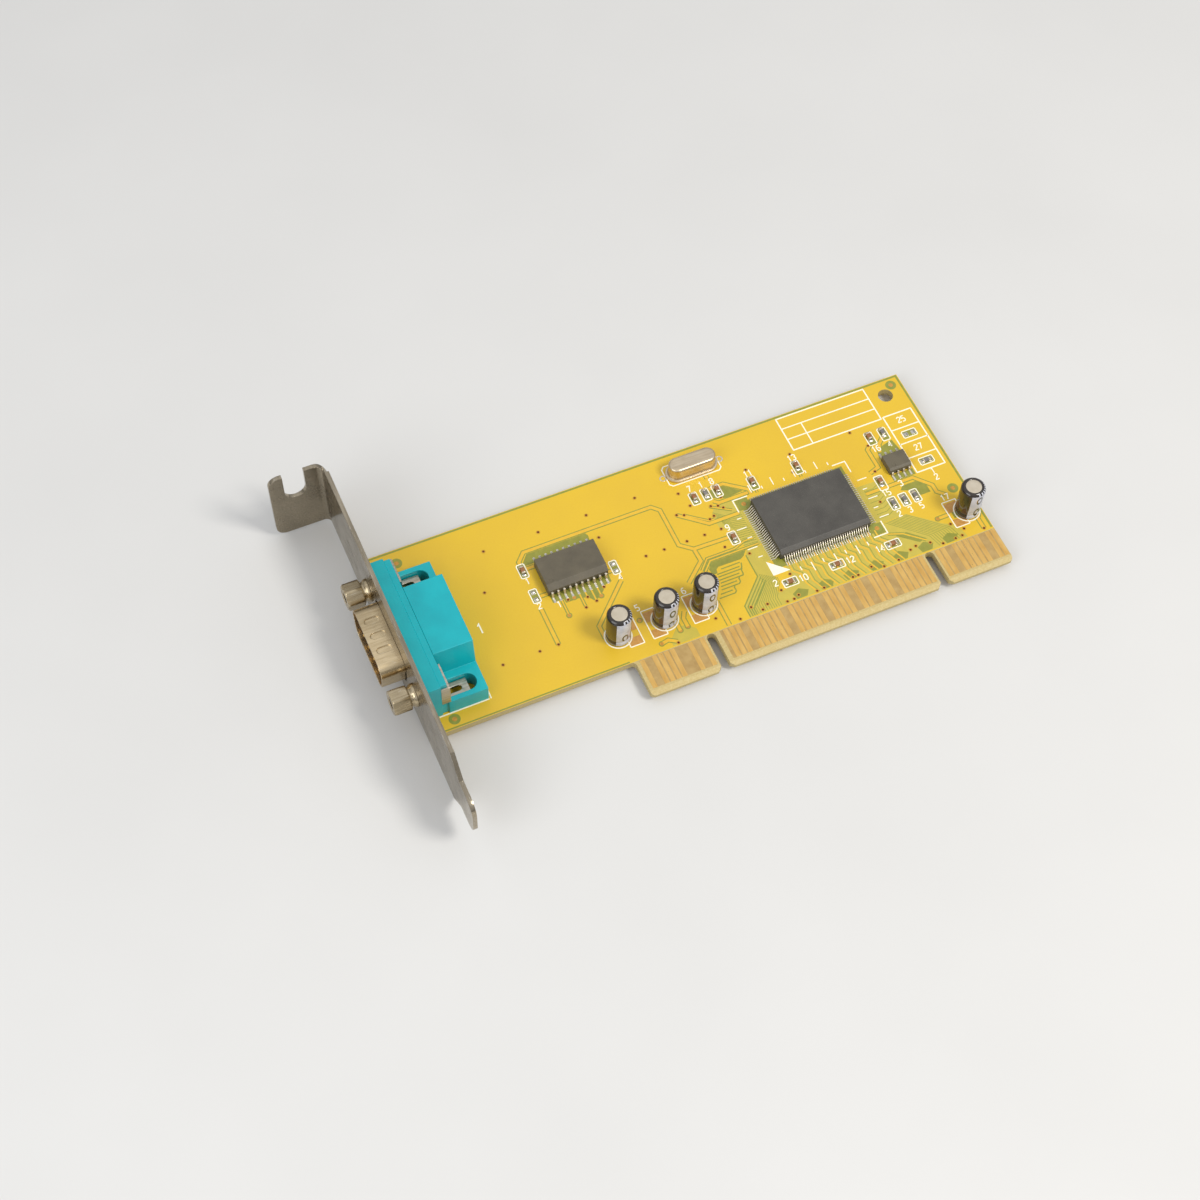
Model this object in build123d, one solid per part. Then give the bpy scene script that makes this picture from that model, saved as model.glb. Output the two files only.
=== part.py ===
from build123d import *
import os
from math import cos, pi, radians, sin, tan

# Serial port card for a 32-bit expansion slot, low-profile form.
# Frame: X runs along the board away from the bracket, Y towards the board's top edge,
# Z up from the component surface. The origin is the card-edge datum: the middle of the first
# key notch, on the line where the contact tabs begin. Units are millimetres.

# Board
BOARD_LEFT = -56.4
BOARD_RIGHT = 63.5
BOARD_TOP = 42.1
BOARD_THICK = 1.6
TAB_DEPTH = 8.1
TAB_LEFT = -15.9
TAB_CORNER = 0.9
BEVEL_LENGTH = 0.95
BEVEL_DEPTH = 0.45
KEY_WIDTH = 1.9
KEY_FLARE = 0.8
HOLE_X = 58.8
HOLE_Y = 38.0
HOLE_RADIUS = 1.6

# Card-edge contacts: 62 places a side, two pairs of them taken by the key notches
CONTACT_PITCH = 1.27
CONTACT_PLACES = 62
KEY_PLACES = (12, 13, 50, 51)
KEY_SPACING = 38 * CONTACT_PITCH
CONTACT_WIDTH = 0.97
CONTACT_FROM = -0.2
CONTACT_TO = -6.7
CONTACT_THICK = 0.05
FRONT_ABSENT = (2, 7, 8, 10, 14, 18, 25, 31, 36, 39, 43, 54, 60)
BACK_ABSENT = (1, 3, 4, 7, 9, 11, 14, 19, 40, 41)

# Bracket
SHEET = 0.86
BRACKET_FACE = -58.4
BRACKET_WIDTH = 18.42
BRACKET_BACK_GAP = 0.34
BRACKET_LENGTH = 79.2
TAB_PLATE_TOP = 56.45
TAB_PLATE_REACH = 11.0
BEND_RADIUS = 1.1
NOTCH_WIDTH = 4.42
NOTCH_DEPTH = 7.5
NOTCH_OFFSET = 5.85
TAB_PLATE_CORNER = 2.2
RELIEF_RADIUS = 3.0
RELIEF_OUT = 2.0
RELIEF_DROP = 2.7
TONGUE_WIDTH = 10.19
TONGUE_START = -12.4
TONGUE_TAPER = 4.1
TONGUE_CORNER = 3.0

# Serial connector, nine contacts in a D-shaped shell, wide row upwards
PORT_Y = 19.0
PORT_Z = 6.25
FLANGE_LENGTH = 30.81
FLANGE_TOP = 10.75
FLANGE_SHEET = 0.5
SHELL_MARGIN = 6.945
SHELL_HEIGHT = 8.36
SHELL_SLANT = 10.0
SHELL_CORNER = 2.6
SHELL_WALL = 0.4
SHELL_REACH = 4.8
SHELL_WINDOW_GAP = 0.5
DIMPLE_LENGTH = 3.0
DIMPLE_WIDTH = 1.5
DIMPLE_DEPTH = 0.25
DIMPLE_FROM_RIM = 0.9
HOUSING_STEPS = ((2.9, 0.0), (1.3, 0.4))
HOUSING_WALL = 1.0
HOUSING_HEIGHT = 10.4
HOUSING_BACK = -44.8
BLOCK_INSET = 0.46
BLOCK_RAMP = 1.0
EAR_HEIGHT = 4.1
EAR_POCKET_WIDTH = 3.6
EAR_POCKET_BACK = 1.4
INSERT_FACE = 0.6
INSERT_GAP = 0.05
PIN_RADIUS = 0.51
PIN_MARGIN = 2.92
ROW_SPACING = 2.84
PIN_SET_BACK = 0.5
PIN_POINT = 0.4
PIN_SIDES = 8
PIN_HOLE_SIDES = 6
TAIL_SIZE = 0.6
TAIL_BELOW = 1.2
TAIL_BEND = 0.5
CHANNEL_GAP = 0.05
UPPER_TAIL_X = -47.0
LOWER_TAIL_X = -49.54

# Jackscrews and board locks
SCREW_MARGIN = 2.91
SCREW_FLATS = 4.76
SCREW_REACH = 4.9
SCREW_TURNS = (2.0, -17.0)
SCREW_NECK = (0.4, 1.9)
SCREW_FLARE = (0.9, 2.35)
SCREW_CHAMFER = 0.25
SCREW_THREAD_RADIUS = 1.4
SCREW_TAP_RADIUS = 1.15
SCREW_TAP_DEPTH = 4.4
SCREW_SHANK = 6.4
SCREW_GAP = 0.05
LOCK_SHEET = 0.5
LOCK_HEIGHT = 2.9
LOCK_LENGTH = 5.0
LOCK_WIDTH = 3.3
LOCK_SLOT = (3.0, 1.2)
LOCK_PLATE_TOP = 9.6
LOCK_PLATE_INSIDE = 2.7
LOCK_WING = 0.4
LOCK_PRONG = (0.5, 0.9)
LOCK_PRONG_BELOW = 1.3

# Solder joints under the board
SOLDER_FLANGE = 0.55
SOLDER_CROWN = 0.15
SOLDER_HEIGHT = 0.8

# Radial capacitors: place of each can's axis
CAN_PLACES = ((-16.6, 6.5), (-6.65, 6.5), (1.87, 6.6), (60.5, 5.95))
CAN_RADIUS = 2.5
CAN_TOP = 8.5
CAN_SLEEVE = 0.08
CAN_SHOULDER = 0.5
CAN_DISC_RADIUS = 1.6
CAN_STANDOFF = 0.3
BUNG_HEIGHT = 1.0
CAN_LEAD_PITCH = 2.0
CAN_LEAD_RADIUS = 0.25
CAN_SIDES = 20
WIRE_SIDES = 6
SCREW_SIDES = 8
LEAD_BELOW = 1.2

# Quartz crystal
CRYSTAL_X = 13.25
CRYSTAL_Y = 36.9
CRYSTAL_BASE = (11.35, 4.65, 0.6)
CRYSTAL_CAN = (10.3, 3.7)
CRYSTAL_HEIGHT = 3.5
CRYSTAL_EDGE = 0.4
END_SIDES = 10
CRYSTAL_LEAD_PITCH = 4.88
CRYSTAL_LEAD_RADIUS = 0.22

# Moulded chips: centre, overall size with leads, how far the leads stand out of the body,
# top, lead counts, and what is left of each side beyond the lead rows
LEAD_PLATE = 0.15
CONTROLLER = dict(x=30.34, y=16.9, span=(23.2, 17.2), reach=(1.6, 1.6), top=2.4, bevel=0.9, under=0.2,
                  spare=1.5, straight=True, count=(38, 26), lead=0.22, foot=0.8, exit=0.55)
DRIVER = dict(x=-19.1, y=23.9, span=(12.8, 10.4), reach=(0.0, 1.45), top=2.5, bevel=1.1, under=0.15,
              spare=1.37, straight=False, count=(10, 0), lead=0.42, foot=0.8, exit=0.5)
MEMORY = dict(x=52.5, y=21.6, span=(4.9, 6.1), reach=(0.0, 1.1), top=1.65, bevel=0.45, under=0.12,
              spare=1.09, straight=False, count=(4, 0), lead=0.42, foot=0.75, exit=0.5)
PIN_MARK = (0.45, 0.1, 1.3)

# Chip parts: name, place, and whether the long side lies along X
CHIP_SIZE = (1.6, 0.8)
CHIP_CAP_HEIGHT = 0.75
CHIP_RESISTOR_HEIGHT = 0.5
CHIP_END = 0.3
CHIP_PARTS = (
    ("capacitor_c1", -28.0, 27.5, False), ("capacitor_c7", 10.75, 30.2, False),
    ("capacitor_c8", 15.85, 30.2, False), ("capacitor_c9", 13.95, 18.4, False),
    ("capacitor_c10", 19.75, 4.5, True), ("capacitor_c11", 23.3, 29.2, False),
    ("capacitor_c12", 30.15, 4.5, True), ("capacitor_c13", 33.4, 29.2, False),
    ("capacitor_c14", 42.75, 4.5, True), ("capacitor_c15", 47.5, 19.0, False),
    ("capacitor_c16", 50.55, 29.8, False), ("resistor_r1", 13.3, 30.2, False),
    ("resistor_r2", 47.5, 13.2, False), ("resistor_r3", 50.0, 13.2, False),
    ("resistor_r4", 53.7, 29.8, False), ("resistor_r5", 52.5, 13.2, False),
    ("jumper_rx2", 58.8, 20.0, True),
)

BOARD_BOTTOM = -BOARD_THICK
BRACKET_LOW = BOARD_BOTTOM - BRACKET_BACK_GAP
BRACKET_HIGH = BRACKET_LOW + BRACKET_WIDTH
BRACKET_INNER = BRACKET_FACE + SHEET
BRACKET_END = TAB_PLATE_TOP - BRACKET_LENGTH
HOUSING_FRONT = BRACKET_INNER + FLANGE_SHEET
SHELL_WIDTH = FLANGE_LENGTH - 2 * SHELL_MARGIN
PIN_PITCH = (SHELL_WIDTH - 2 * PIN_MARGIN) / 4
DIMPLE_PITCH = SHELL_WIDTH / 5
BLOCK_WIDTH = SHELL_WIDTH - 2 * BLOCK_INSET
SCREW_SPACING = FLANGE_LENGTH - 2 * SCREW_MARGIN
SCREW_YS = (PORT_Y - SCREW_SPACING / 2, PORT_Y + SCREW_SPACING / 2)
SCREW_RADIUS = SCREW_FLATS / 2 / cos(radians(30))
FLANGE_BACK = HOUSING_FRONT + sum(step for step, _ in HOUSING_STEPS)


def block(x0, x1, y0, y1, z0, z1):
    """Box between two corners."""
    return Pos((x0 + x1) / 2, (y0 + y1) / 2, (z0 + z1) / 2) * Box(x1 - x0, y1 - y0, z1 - z0)


def disc(x, y, z0, z1, radius):
    """Upright cylinder."""
    return Pos(x, y, (z0 + z1) / 2) * Cylinder(radius, z1 - z0)


def rod(x0, x1, y, z, radius):
    """Cylinder along X."""
    return Pos((x0 + x1) / 2, y, z) * Rot(0, 90, 0) * Cylinder(radius, x1 - x0)


def flat_sided(rings):
    """Solid with flat sides between level outlines that have the same number of corners."""
    faces = [Face(Wire.make_polygon(ring)) for ring in (rings[0], rings[-1])]
    for low, high in zip(rings, rings[1:]):
        for i in range(len(low)):
            faces.append(Face(Wire.make_polygon([low[i - 1], low[i], high[i], high[i - 1]])))
    return Solid(Shell(faces))


def sided_post(x, y, steps, sides):
    """Many-sided upright through sections of (z, radius)."""
    turns = [2 * pi * i / sides for i in range(sides)]
    return flat_sided([[(x + r * cos(a), y + r * sin(a), z) for a in turns] for z, r in steps])


def sided_rod(y, z, steps, sides):
    """Many-sided rod along X through sections of (x, radius)."""
    return Pos(0, y, z) * Rot(0, 90, 0) * sided_post(0, 0, steps, sides)


def prism_y(points, y0, y1):
    """Solid whose XZ outline runs from y0 to y1."""
    face = make_face(Polyline(*[(x, y0, z) for x, z in points], close=True))
    return extrude(face, amount=y1 - y0, dir=(0, 1, 0))


def prism_x(points, x0, x1):
    """Solid whose YZ outline runs from x0 to x1."""
    face = make_face(Polyline(*[(x0, y, z) for y, z in points], close=True))
    return extrude(face, amount=x1 - x0, dir=(1, 0, 0))


def slot_cut(x, y, length, width, z0, z1, angle=0):
    """Upright round-ended slot."""
    flat = Pos(x, y, z0) * Rot(0, 0, angle) * SlotOverall(length, width)
    return extrude(flat, amount=z1 - z0)


def contact_x(place):
    """Middle of a contact place, counted from the bracket end."""
    return (place - (KEY_PLACES[0] + KEY_PLACES[1]) / 2) * CONTACT_PITCH


def key_cutter(x):
    """Round-topped key notch with a flared mouth."""
    half = KEY_WIDTH / 2
    low = -TAB_DEPTH
    body = block(x - half, x + half, low - 1, -half, BOARD_BOTTOM - 1, 1)
    top = disc(x, -half, BOARD_BOTTOM - 1, 1, half)
    points = [(x - half - KEY_FLARE, low), (x - half, low + KEY_FLARE), (x + half, low + KEY_FLARE),
              (x + half + KEY_FLARE, low)]
    flare = extrude(Pos(0, 0, BOARD_BOTTOM - 1) * make_face(Polyline(*points, close=True)),
                    amount=BOARD_THICK + 2)
    return body + top + flare


def edge_bevel(top_side):
    """Wedge that thins the contact tabs at their tip."""
    tip = -TAB_DEPTH
    face = 0 if top_side else BOARD_BOTTOM
    inward = -BEVEL_DEPTH if top_side else BEVEL_DEPTH
    points = [(tip + BEVEL_LENGTH, face), (tip, face + inward), (tip, face)]
    return prism_x(points, TAB_LEFT - 1, BOARD_RIGHT + 1)


def tail_holes():
    """Holes under the connector's contacts and locks, the capacitors and the crystal."""
    low, high = BOARD_BOTTOM - 1, 1
    half = TAIL_SIZE / 2 + CHANNEL_GAP
    for x, y in contact_tails():
        yield block(x - half, x + half, y - half, y + half, low, high)
    for y in SCREW_YS:
        for x0, x1, y0, y1 in prong_places(y):
            g = CHANNEL_GAP
            yield block(x0 - g, x1 + g, y0 - g, y1 + g, low, high)
    for x, y, radius in lead_places():
        yield sided_post(x, y, [(low, radius + CHANNEL_GAP), (high, radius + CHANNEL_GAP)], WIRE_SIDES)


def lead_places():
    """Wire leads of the capacitors and the crystal, with their radius."""
    places = []
    for x, y in CAN_PLACES:
        places += [(x, y + s * CAN_LEAD_PITCH / 2, CAN_LEAD_RADIUS) for s in (-1, 1)]
    half = CRYSTAL_LEAD_PITCH / 2
    return places + [(CRYSTAL_X + s * half, CRYSTAL_Y, CRYSTAL_LEAD_RADIUS) for s in (-1, 1)]


def row_ys(count):
    """Contact places of one row."""
    return [PORT_Y + (i - (count - 1) / 2) * PIN_PITCH for i in range(count)]


def contact_tails():
    """Where each contact's tail passes through the board."""
    upper = [(UPPER_TAIL_X, y) for y in row_ys(5)]
    return upper + [(LOWER_TAIL_X, y) for y in row_ys(4)]


def prong_places(y):
    """The two prongs of a board lock, in plan."""
    along, across = LOCK_PRONG
    x1 = FLANGE_BACK + LOCK_LENGTH
    return [(x1 - along, x1, y + s * (LOCK_WIDTH / 2 - across / 2) - across / 2,
             y + s * (LOCK_WIDTH / 2 - across / 2) + across / 2) for s in (-1, 1)]


def make_board():
    """Laminate with contact tabs, key notches, bevels and holes."""
    outline = Polyline((BOARD_LEFT, 0), (TAB_LEFT, 0), (TAB_LEFT, -TAB_DEPTH),
                       (BOARD_RIGHT, -TAB_DEPTH), (BOARD_RIGHT, BOARD_TOP),
                       (BOARD_LEFT, BOARD_TOP), close=True)
    flat = make_face(outline)
    corners = [v for v in flat.vertices() if v.Y < -TAB_DEPTH + 0.1 or abs(v.X - TAB_LEFT) < 0.1]
    flat = fillet(corners, TAB_CORNER)
    board = extrude(Pos(0, 0, BOARD_BOTTOM) * flat, amount=BOARD_THICK)
    board -= key_cutter(0) + key_cutter(KEY_SPACING)
    board -= edge_bevel(True) + edge_bevel(False)
    board -= disc(HOLE_X, HOLE_Y, BOARD_BOTTOM - 1, 1, HOLE_RADIUS)
    for hole in tail_holes():
        board -= hole
    return board


def make_contacts(absent, z0):
    """Gold strips of one face of the card edge."""
    strips = []
    for place in range(1, CONTACT_PLACES + 1):
        if place in KEY_PLACES or place in absent:
            continue
        x = contact_x(place)
        strips.append(block(x - CONTACT_WIDTH / 2, x + CONTACT_WIDTH / 2, CONTACT_TO, CONTACT_FROM,
                            z0, z0 + CONTACT_THICK))
    return Compound(strips)


def shell_face(inset, x):
    """D-shaped outline of the port, wide side up, on a plane across X."""
    half_w = SHELL_WIDTH / 2 - inset
    half_h = SHELL_HEIGHT / 2 - inset
    lean = 2 * half_h * tan(radians(SHELL_SLANT))
    points = [(x, PORT_Y - half_w, PORT_Z + half_h), (x, PORT_Y + half_w, PORT_Z + half_h),
              (x, PORT_Y + half_w - lean, PORT_Z - half_h),
              (x, PORT_Y - half_w + lean, PORT_Z - half_h)]
    flat = make_face(Polyline(*points, close=True))
    return fillet(flat.vertices(), SHELL_CORNER - inset)


def shell_prism(inset, x0, x1):
    """Solid D-shaped bar between two planes across X."""
    return extrude(shell_face(inset, x0), amount=x1 - x0, dir=(1, 0, 0))


def screw_passage(x0, x1, y, gap=SCREW_GAP):
    """Hole along X for a jackscrew's shank."""
    radius = SCREW_THREAD_RADIUS + gap
    return sided_rod(y, PORT_Z, [(x0, radius), (x1, radius)], SCREW_SIDES)


def bracket_profile():
    """Strip and folded tab seen along Z."""
    tip = BRACKET_FACE - TAB_PLATE_REACH
    under = TAB_PLATE_TOP - SHEET
    flat = make_face(Polyline((BRACKET_INNER, BRACKET_END), (BRACKET_INNER, TAB_PLATE_TOP),
                              (tip, TAB_PLATE_TOP), (tip, under), (BRACKET_FACE, under),
                              (BRACKET_FACE, BRACKET_END), close=True))
    outer = [v for v in flat.vertices() if v.X > BRACKET_FACE + 0.1 and v.Y > under + 0.1]
    flat = fillet(outer, BEND_RADIUS + SHEET)
    inner = [v for v in flat.vertices() if abs(v.X - BRACKET_FACE) < 0.01 and abs(v.Y - under) < 0.01]
    return fillet(inner, BEND_RADIUS)


def tongue_cutters():
    """Cuts that narrow the strip to the tongue and round its end."""
    side = (BRACKET_WIDTH - TONGUE_WIDTH) / 2
    x0, x1 = BRACKET_FACE - 1, BRACKET_INNER + 1
    for s, edge in ((1, BRACKET_HIGH), (-1, BRACKET_LOW)):
        inner = edge - s * side
        points = [(TONGUE_START, edge + s), (TONGUE_START, edge), (TONGUE_START - TONGUE_TAPER, inner),
                  (BRACKET_END - 1, inner), (BRACKET_END - 1, edge + s)]
        yield prism_x(points, x0, x1)
        centre_y, centre_z = BRACKET_END + TONGUE_CORNER, inner - s * TONGUE_CORNER
        low, high = sorted((centre_z, inner + s))
        corner = block(x0, x1, BRACKET_END - 1, centre_y, low, high)
        yield corner - rod(x0 - 1, x1 + 1, centre_y, centre_z, TONGUE_CORNER)


def tab_cutters():
    """Screw notch, rounded corners and bend relief of the folded tab."""
    tip = BRACKET_FACE - TAB_PLATE_REACH
    y0, y1 = TAB_PLATE_TOP - SHEET - 1, TAB_PLATE_TOP + 1
    notch_x = BRACKET_FACE - NOTCH_OFFSET
    half = NOTCH_WIDTH / 2
    floor = BRACKET_HIGH - NOTCH_DEPTH
    turn = Rot(90, 0, 0)
    middle = (y0 + y1) / 2
    yield block(notch_x - half, notch_x + half, y0, y1, floor + half, BRACKET_HIGH + 1)
    yield Pos(notch_x, middle, floor + half) * turn * Cylinder(half, y1 - y0)
    x0, centre_z = BRACKET_FACE - RELIEF_OUT, BRACKET_HIGH - RELIEF_RADIUS
    drop = TAB_PLATE_TOP - RELIEF_DROP
    bite = block(x0, x0 + RELIEF_RADIUS, drop, y1, centre_z, BRACKET_HIGH + 1)
    yield bite - Pos(x0, middle, centre_z) * turn * Cylinder(RELIEF_RADIUS, 4 * RELIEF_DROP)
    r = TAB_PLATE_CORNER
    for s, edge in ((1, BRACKET_HIGH), (-1, BRACKET_LOW)):
        low, high = sorted((edge - s * r, edge + s))
        round_bar = Pos(tip + r, middle, edge - s * r) * turn * Cylinder(r, y1 - y0 + 2)
        yield block(tip - 1, tip + r, y0, y1, low, high) - round_bar


def make_bracket():
    """Folded steel bracket with port window and screw holes."""
    bracket = extrude(Pos(0, 0, BRACKET_LOW) * bracket_profile(), amount=BRACKET_WIDTH)
    for cutter in tongue_cutters():
        bracket -= cutter
    for cutter in tab_cutters():
        bracket -= cutter
    bracket -= shell_prism(-SHELL_WINDOW_GAP, BRACKET_FACE - 1, BRACKET_INNER + 1)
    for y in SCREW_YS:
        bracket -= screw_passage(BRACKET_FACE - 1, BRACKET_INNER + 1, y)
    return bracket


def dimple(y, z0, z1, grow):
    """Long pad with cut corners on the shell's upper wall."""
    x = BRACKET_FACE - SHELL_REACH + DIMPLE_FROM_RIM + DIMPLE_LENGTH / 2
    pad = Box(DIMPLE_LENGTH + grow, DIMPLE_WIDTH + grow, z1 - z0)
    return Pos(x, y, (z0 + z1) / 2) * chamfer(pad.edges().filter_by(Axis.Z), DIMPLE_WIDTH / 3)


def make_shell():
    """Stamped steel shell: mounting flange and D-shaped collar with three pressed dimples."""
    rim = BRACKET_FACE - SHELL_REACH
    y0, y1 = PORT_Y - FLANGE_LENGTH / 2, PORT_Y + FLANGE_LENGTH / 2
    shell = block(BRACKET_INNER, HOUSING_FRONT, y0, y1, 0, FLANGE_TOP)
    shell += shell_prism(0, rim, HOUSING_FRONT)
    top = PORT_Z + SHELL_HEIGHT / 2
    ys = [PORT_Y + i * DIMPLE_PITCH for i in (-1, 0, 1)]
    hollow = shell_prism(SHELL_WALL, rim - 1, HOUSING_FRONT + 1)
    for y in ys:
        hollow -= dimple(y, top - SHELL_WALL - DIMPLE_DEPTH, top, 2 * SHELL_WALL)
    shell -= hollow
    for y in ys:
        shell -= dimple(y, top - DIMPLE_DEPTH, top + 1, 0)
    for y in SCREW_YS:
        shell -= screw_passage(BRACKET_INNER - 1, HOUSING_FRONT + 1, y)
    return shell


def pin_clearances(x0, x1):
    """Round passages for the nine contacts."""
    radius = (PIN_RADIUS + CHANNEL_GAP) / cos(radians(180 / PIN_HOLE_SIDES))
    places = [(y, 1) for y in row_ys(5)] + [(y, -1) for y in row_ys(4)]
    steps = [(x0, radius), (x1, radius)]
    return [sided_rod(y, PORT_Z + s * ROW_SPACING / 2, steps, PIN_HOLE_SIDES) for y, s in places]


def make_insert():
    """Insulator that holds the contacts inside the shell."""
    x0, x1 = BRACKET_FACE - INSERT_FACE, HOUSING_FRONT
    insert = shell_prism(SHELL_WALL + DIMPLE_DEPTH + INSERT_GAP, x0, x1)
    for passage in pin_clearances(x0 - 1, x1 + 1):
        insert -= passage
    return insert


def make_contact(y, z, tail_x):
    """Round contact with a square tail bent down through the board."""
    tip = BRACKET_FACE - SHELL_REACH + PIN_SET_BACK
    steps = [(tip, PIN_RADIUS / 2), (tip + PIN_POINT, PIN_RADIUS), (HOUSING_FRONT, PIN_RADIUS)]
    pin = sided_rod(y, z, steps, PIN_SIDES)
    half = TAIL_SIZE / 2
    low = BOARD_BOTTOM - TAIL_BELOW
    points = [(HOUSING_FRONT, z + half), (tail_x + half - TAIL_BEND, z + half),
              (tail_x + half, z + half - TAIL_BEND), (tail_x + half, low), (tail_x - half, low),
              (tail_x - half, z - half), (HOUSING_FRONT, z - half)]
    return pin + prism_y(points, y - half, y + half)


def contact_row(count, side, tail_x):
    """One row of contacts, spaced at the row pitch."""
    z = PORT_Z + side * ROW_SPACING / 2
    return Compound([make_contact(y, z, tail_x) for y in row_ys(count)])


def make_housing():
    """Plastic cap: stepped flange, hollow block open to the board, low ear with a pocket at each end."""
    x = HOUSING_FRONT
    parts = []
    for step, inset in HOUSING_STEPS:
        half = FLANGE_LENGTH / 2 - inset
        parts.append(block(x, x + step, PORT_Y - half, PORT_Y + half, 0, FLANGE_TOP - inset / 2))
        x += step
    half = BLOCK_WIDTH / 2
    outline = [(PORT_Y - half, HOUSING_HEIGHT), (PORT_Y + half, HOUSING_HEIGHT),
               (PORT_Y + half + BLOCK_RAMP, EAR_HEIGHT), (PORT_Y + half + BLOCK_RAMP, 0),
               (PORT_Y - half - BLOCK_RAMP, 0), (PORT_Y - half - BLOCK_RAMP, EAR_HEIGHT)]
    parts.append(prism_x(outline, x, HOUSING_BACK))
    end = FLANGE_LENGTH / 2 - HOUSING_STEPS[0][1]
    for s in (-1, 1):
        low, high = sorted((PORT_Y + s * half, PORT_Y + s * end))
        parts.append(block(x, HOUSING_BACK, low, high, 0, EAR_HEIGHT))
    housing = parts[0]
    for part in parts[1:]:
        housing += part
    reach = HOUSING_BACK - EAR_POCKET_BACK - FLANGE_BACK
    for y in SCREW_YS:
        length = reach + EAR_POCKET_WIDTH
        pocket = slot_cut(FLANGE_BACK + reach - length / 2, y, length, EAR_POCKET_WIDTH, -1, EAR_HEIGHT + 1)
        wide = EAR_POCKET_WIDTH
        housing -= pocket & block(FLANGE_BACK, HOUSING_BACK, y - wide, y + wide, -1, EAR_HEIGHT + 1)
        housing -= screw_passage(HOUSING_FRONT - 1, FLANGE_BACK + 1, y)
    hollow = half - HOUSING_WALL
    top = HOUSING_HEIGHT - HOUSING_WALL
    low, high = PORT_Y - hollow, PORT_Y + hollow
    return housing - block(HOUSING_FRONT - 1, HOUSING_BACK - HOUSING_WALL, low, high, -1, top)


def make_board_lock(y, outward):
    """Bent steel lock: plate behind the flange with a wing round its end, slotted foot, two prongs."""
    x0 = FLANGE_BACK
    half = LOCK_WIDTH / 2
    low = LOCK_HEIGHT - LOCK_SHEET
    lock = block(x0, x0 + LOCK_SHEET, y - half, y + half, low, EAR_HEIGHT)
    end = PORT_Y + outward * FLANGE_LENGTH / 2
    y0, y1 = sorted((end, y - outward * LOCK_PLATE_INSIDE))
    lock += block(x0, x0 + LOCK_SHEET, y0, y1, EAR_HEIGHT, LOCK_PLATE_TOP)
    y0, y1 = sorted((end, end - outward * LOCK_WING))
    lock += block(x0 - HOUSING_STEPS[1][0], x0, y0, y1, EAR_HEIGHT, LOCK_PLATE_TOP)
    lock += block(x0, x0 + LOCK_LENGTH, y - half, y + half, low, LOCK_HEIGHT)
    length, width = LOCK_SLOT
    middle = x0 + LOCK_SHEET + length / 2 + 0.2
    lock -= oblong(middle, y, [(low - 1, length, width), (LOCK_HEIGHT + 1, length, width)], 4)
    for px0, px1, py0, py1 in prong_places(y):
        lock += block(px0, px1, py0, py1, BOARD_BOTTOM - LOCK_PRONG_BELOW, low)
    return lock - screw_passage(x0 - 1, x0 + 1, y, 0)


def make_jackscrew(y, turn):
    """Hexagonal standoff with a tapped mouth, a neck, a flared foot and a threaded shank."""
    mouth = BRACKET_FACE - SCREW_REACH
    flare_x = BRACKET_FACE - SCREW_FLARE[0]
    neck_x = flare_x - SCREW_NECK[0]
    hexagon = Pos(mouth, y, PORT_Z) * Rot(turn, 0, 0) * Rot(0, 90, 0) * RegularPolygon(SCREW_RADIUS, 6)
    screw = extrude(hexagon, amount=neck_x - mouth, dir=(1, 0, 0))
    screw = chamfer(screw.faces().sort_by(Axis.X)[0].edges(), SCREW_CHAMFER)
    foot = [(neck_x, SCREW_NECK[1]), (flare_x, SCREW_NECK[1]), (BRACKET_FACE, SCREW_FLARE[1])]
    screw += sided_rod(y, PORT_Z, foot, SCREW_SIDES)
    screw += screw_passage(BRACKET_FACE, BRACKET_FACE + SCREW_SHANK, y, 0)
    return screw - rod(mouth - 1, mouth + SCREW_TAP_DEPTH, y, PORT_Z, SCREW_TAP_RADIUS)


def make_sleeve(x, y):
    """Shrunk sleeve with a sloped shoulder and an open top."""
    r, t, rim = CAN_RADIUS, CAN_SLEEVE, CAN_DISC_RADIUS
    shoulder = CAN_TOP - CAN_SHOULDER
    outer = [(CAN_STANDOFF, r), (shoulder, r), (CAN_TOP, rim + t)]
    inner = [(CAN_STANDOFF - 1, r - t), (shoulder, r - t), (CAN_TOP - t, rim), (CAN_TOP + 1, rim)]
    return sided_post(x, y, outer, CAN_SIDES) - sided_post(x, y, inner, CAN_SIDES)


def make_can(x, y):
    """Drawn aluminium can with a closed top, seated on its bung."""
    r, t, rim = CAN_RADIUS, CAN_SLEEVE, CAN_DISC_RADIUS
    steps = [(CAN_STANDOFF + BUNG_HEIGHT, r - t), (CAN_TOP - CAN_SHOULDER, r - t), (CAN_TOP - t, rim)]
    return sided_post(x, y, steps, CAN_SIDES)


def make_leads(places, z1, radius):
    """Pair of wires through the board."""
    steps = [(BOARD_BOTTOM - LEAD_BELOW, radius), (z1, radius)]
    return Compound([sided_post(x, y, steps, WIRE_SIDES) for x, y in places])


def oblong_ring(x, y, length, width, z, sides):
    """Corners of a level outline with a many-sided round end at each side."""
    radius, reach = width / 2, (length - width) / 2
    points = []
    for side in (1, -1):
        for i in range(sides + 1):
            a = radians(-90 + 180 * i / sides)
            points.append((x + side * (reach + radius * cos(a)), y + side * radius * sin(a), z))
    return points


def oblong(x, y, steps, sides):
    """Upright oblong solid through sections of (z, length, width)."""
    return flat_sided([oblong_ring(x, y, length, width, z, sides) for z, length, width in steps])


def body_size(chip):
    """Length and width of the moulded body, without the leads."""
    return [span - 2 * reach for span, reach in zip(chip["span"], chip["reach"])]


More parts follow.
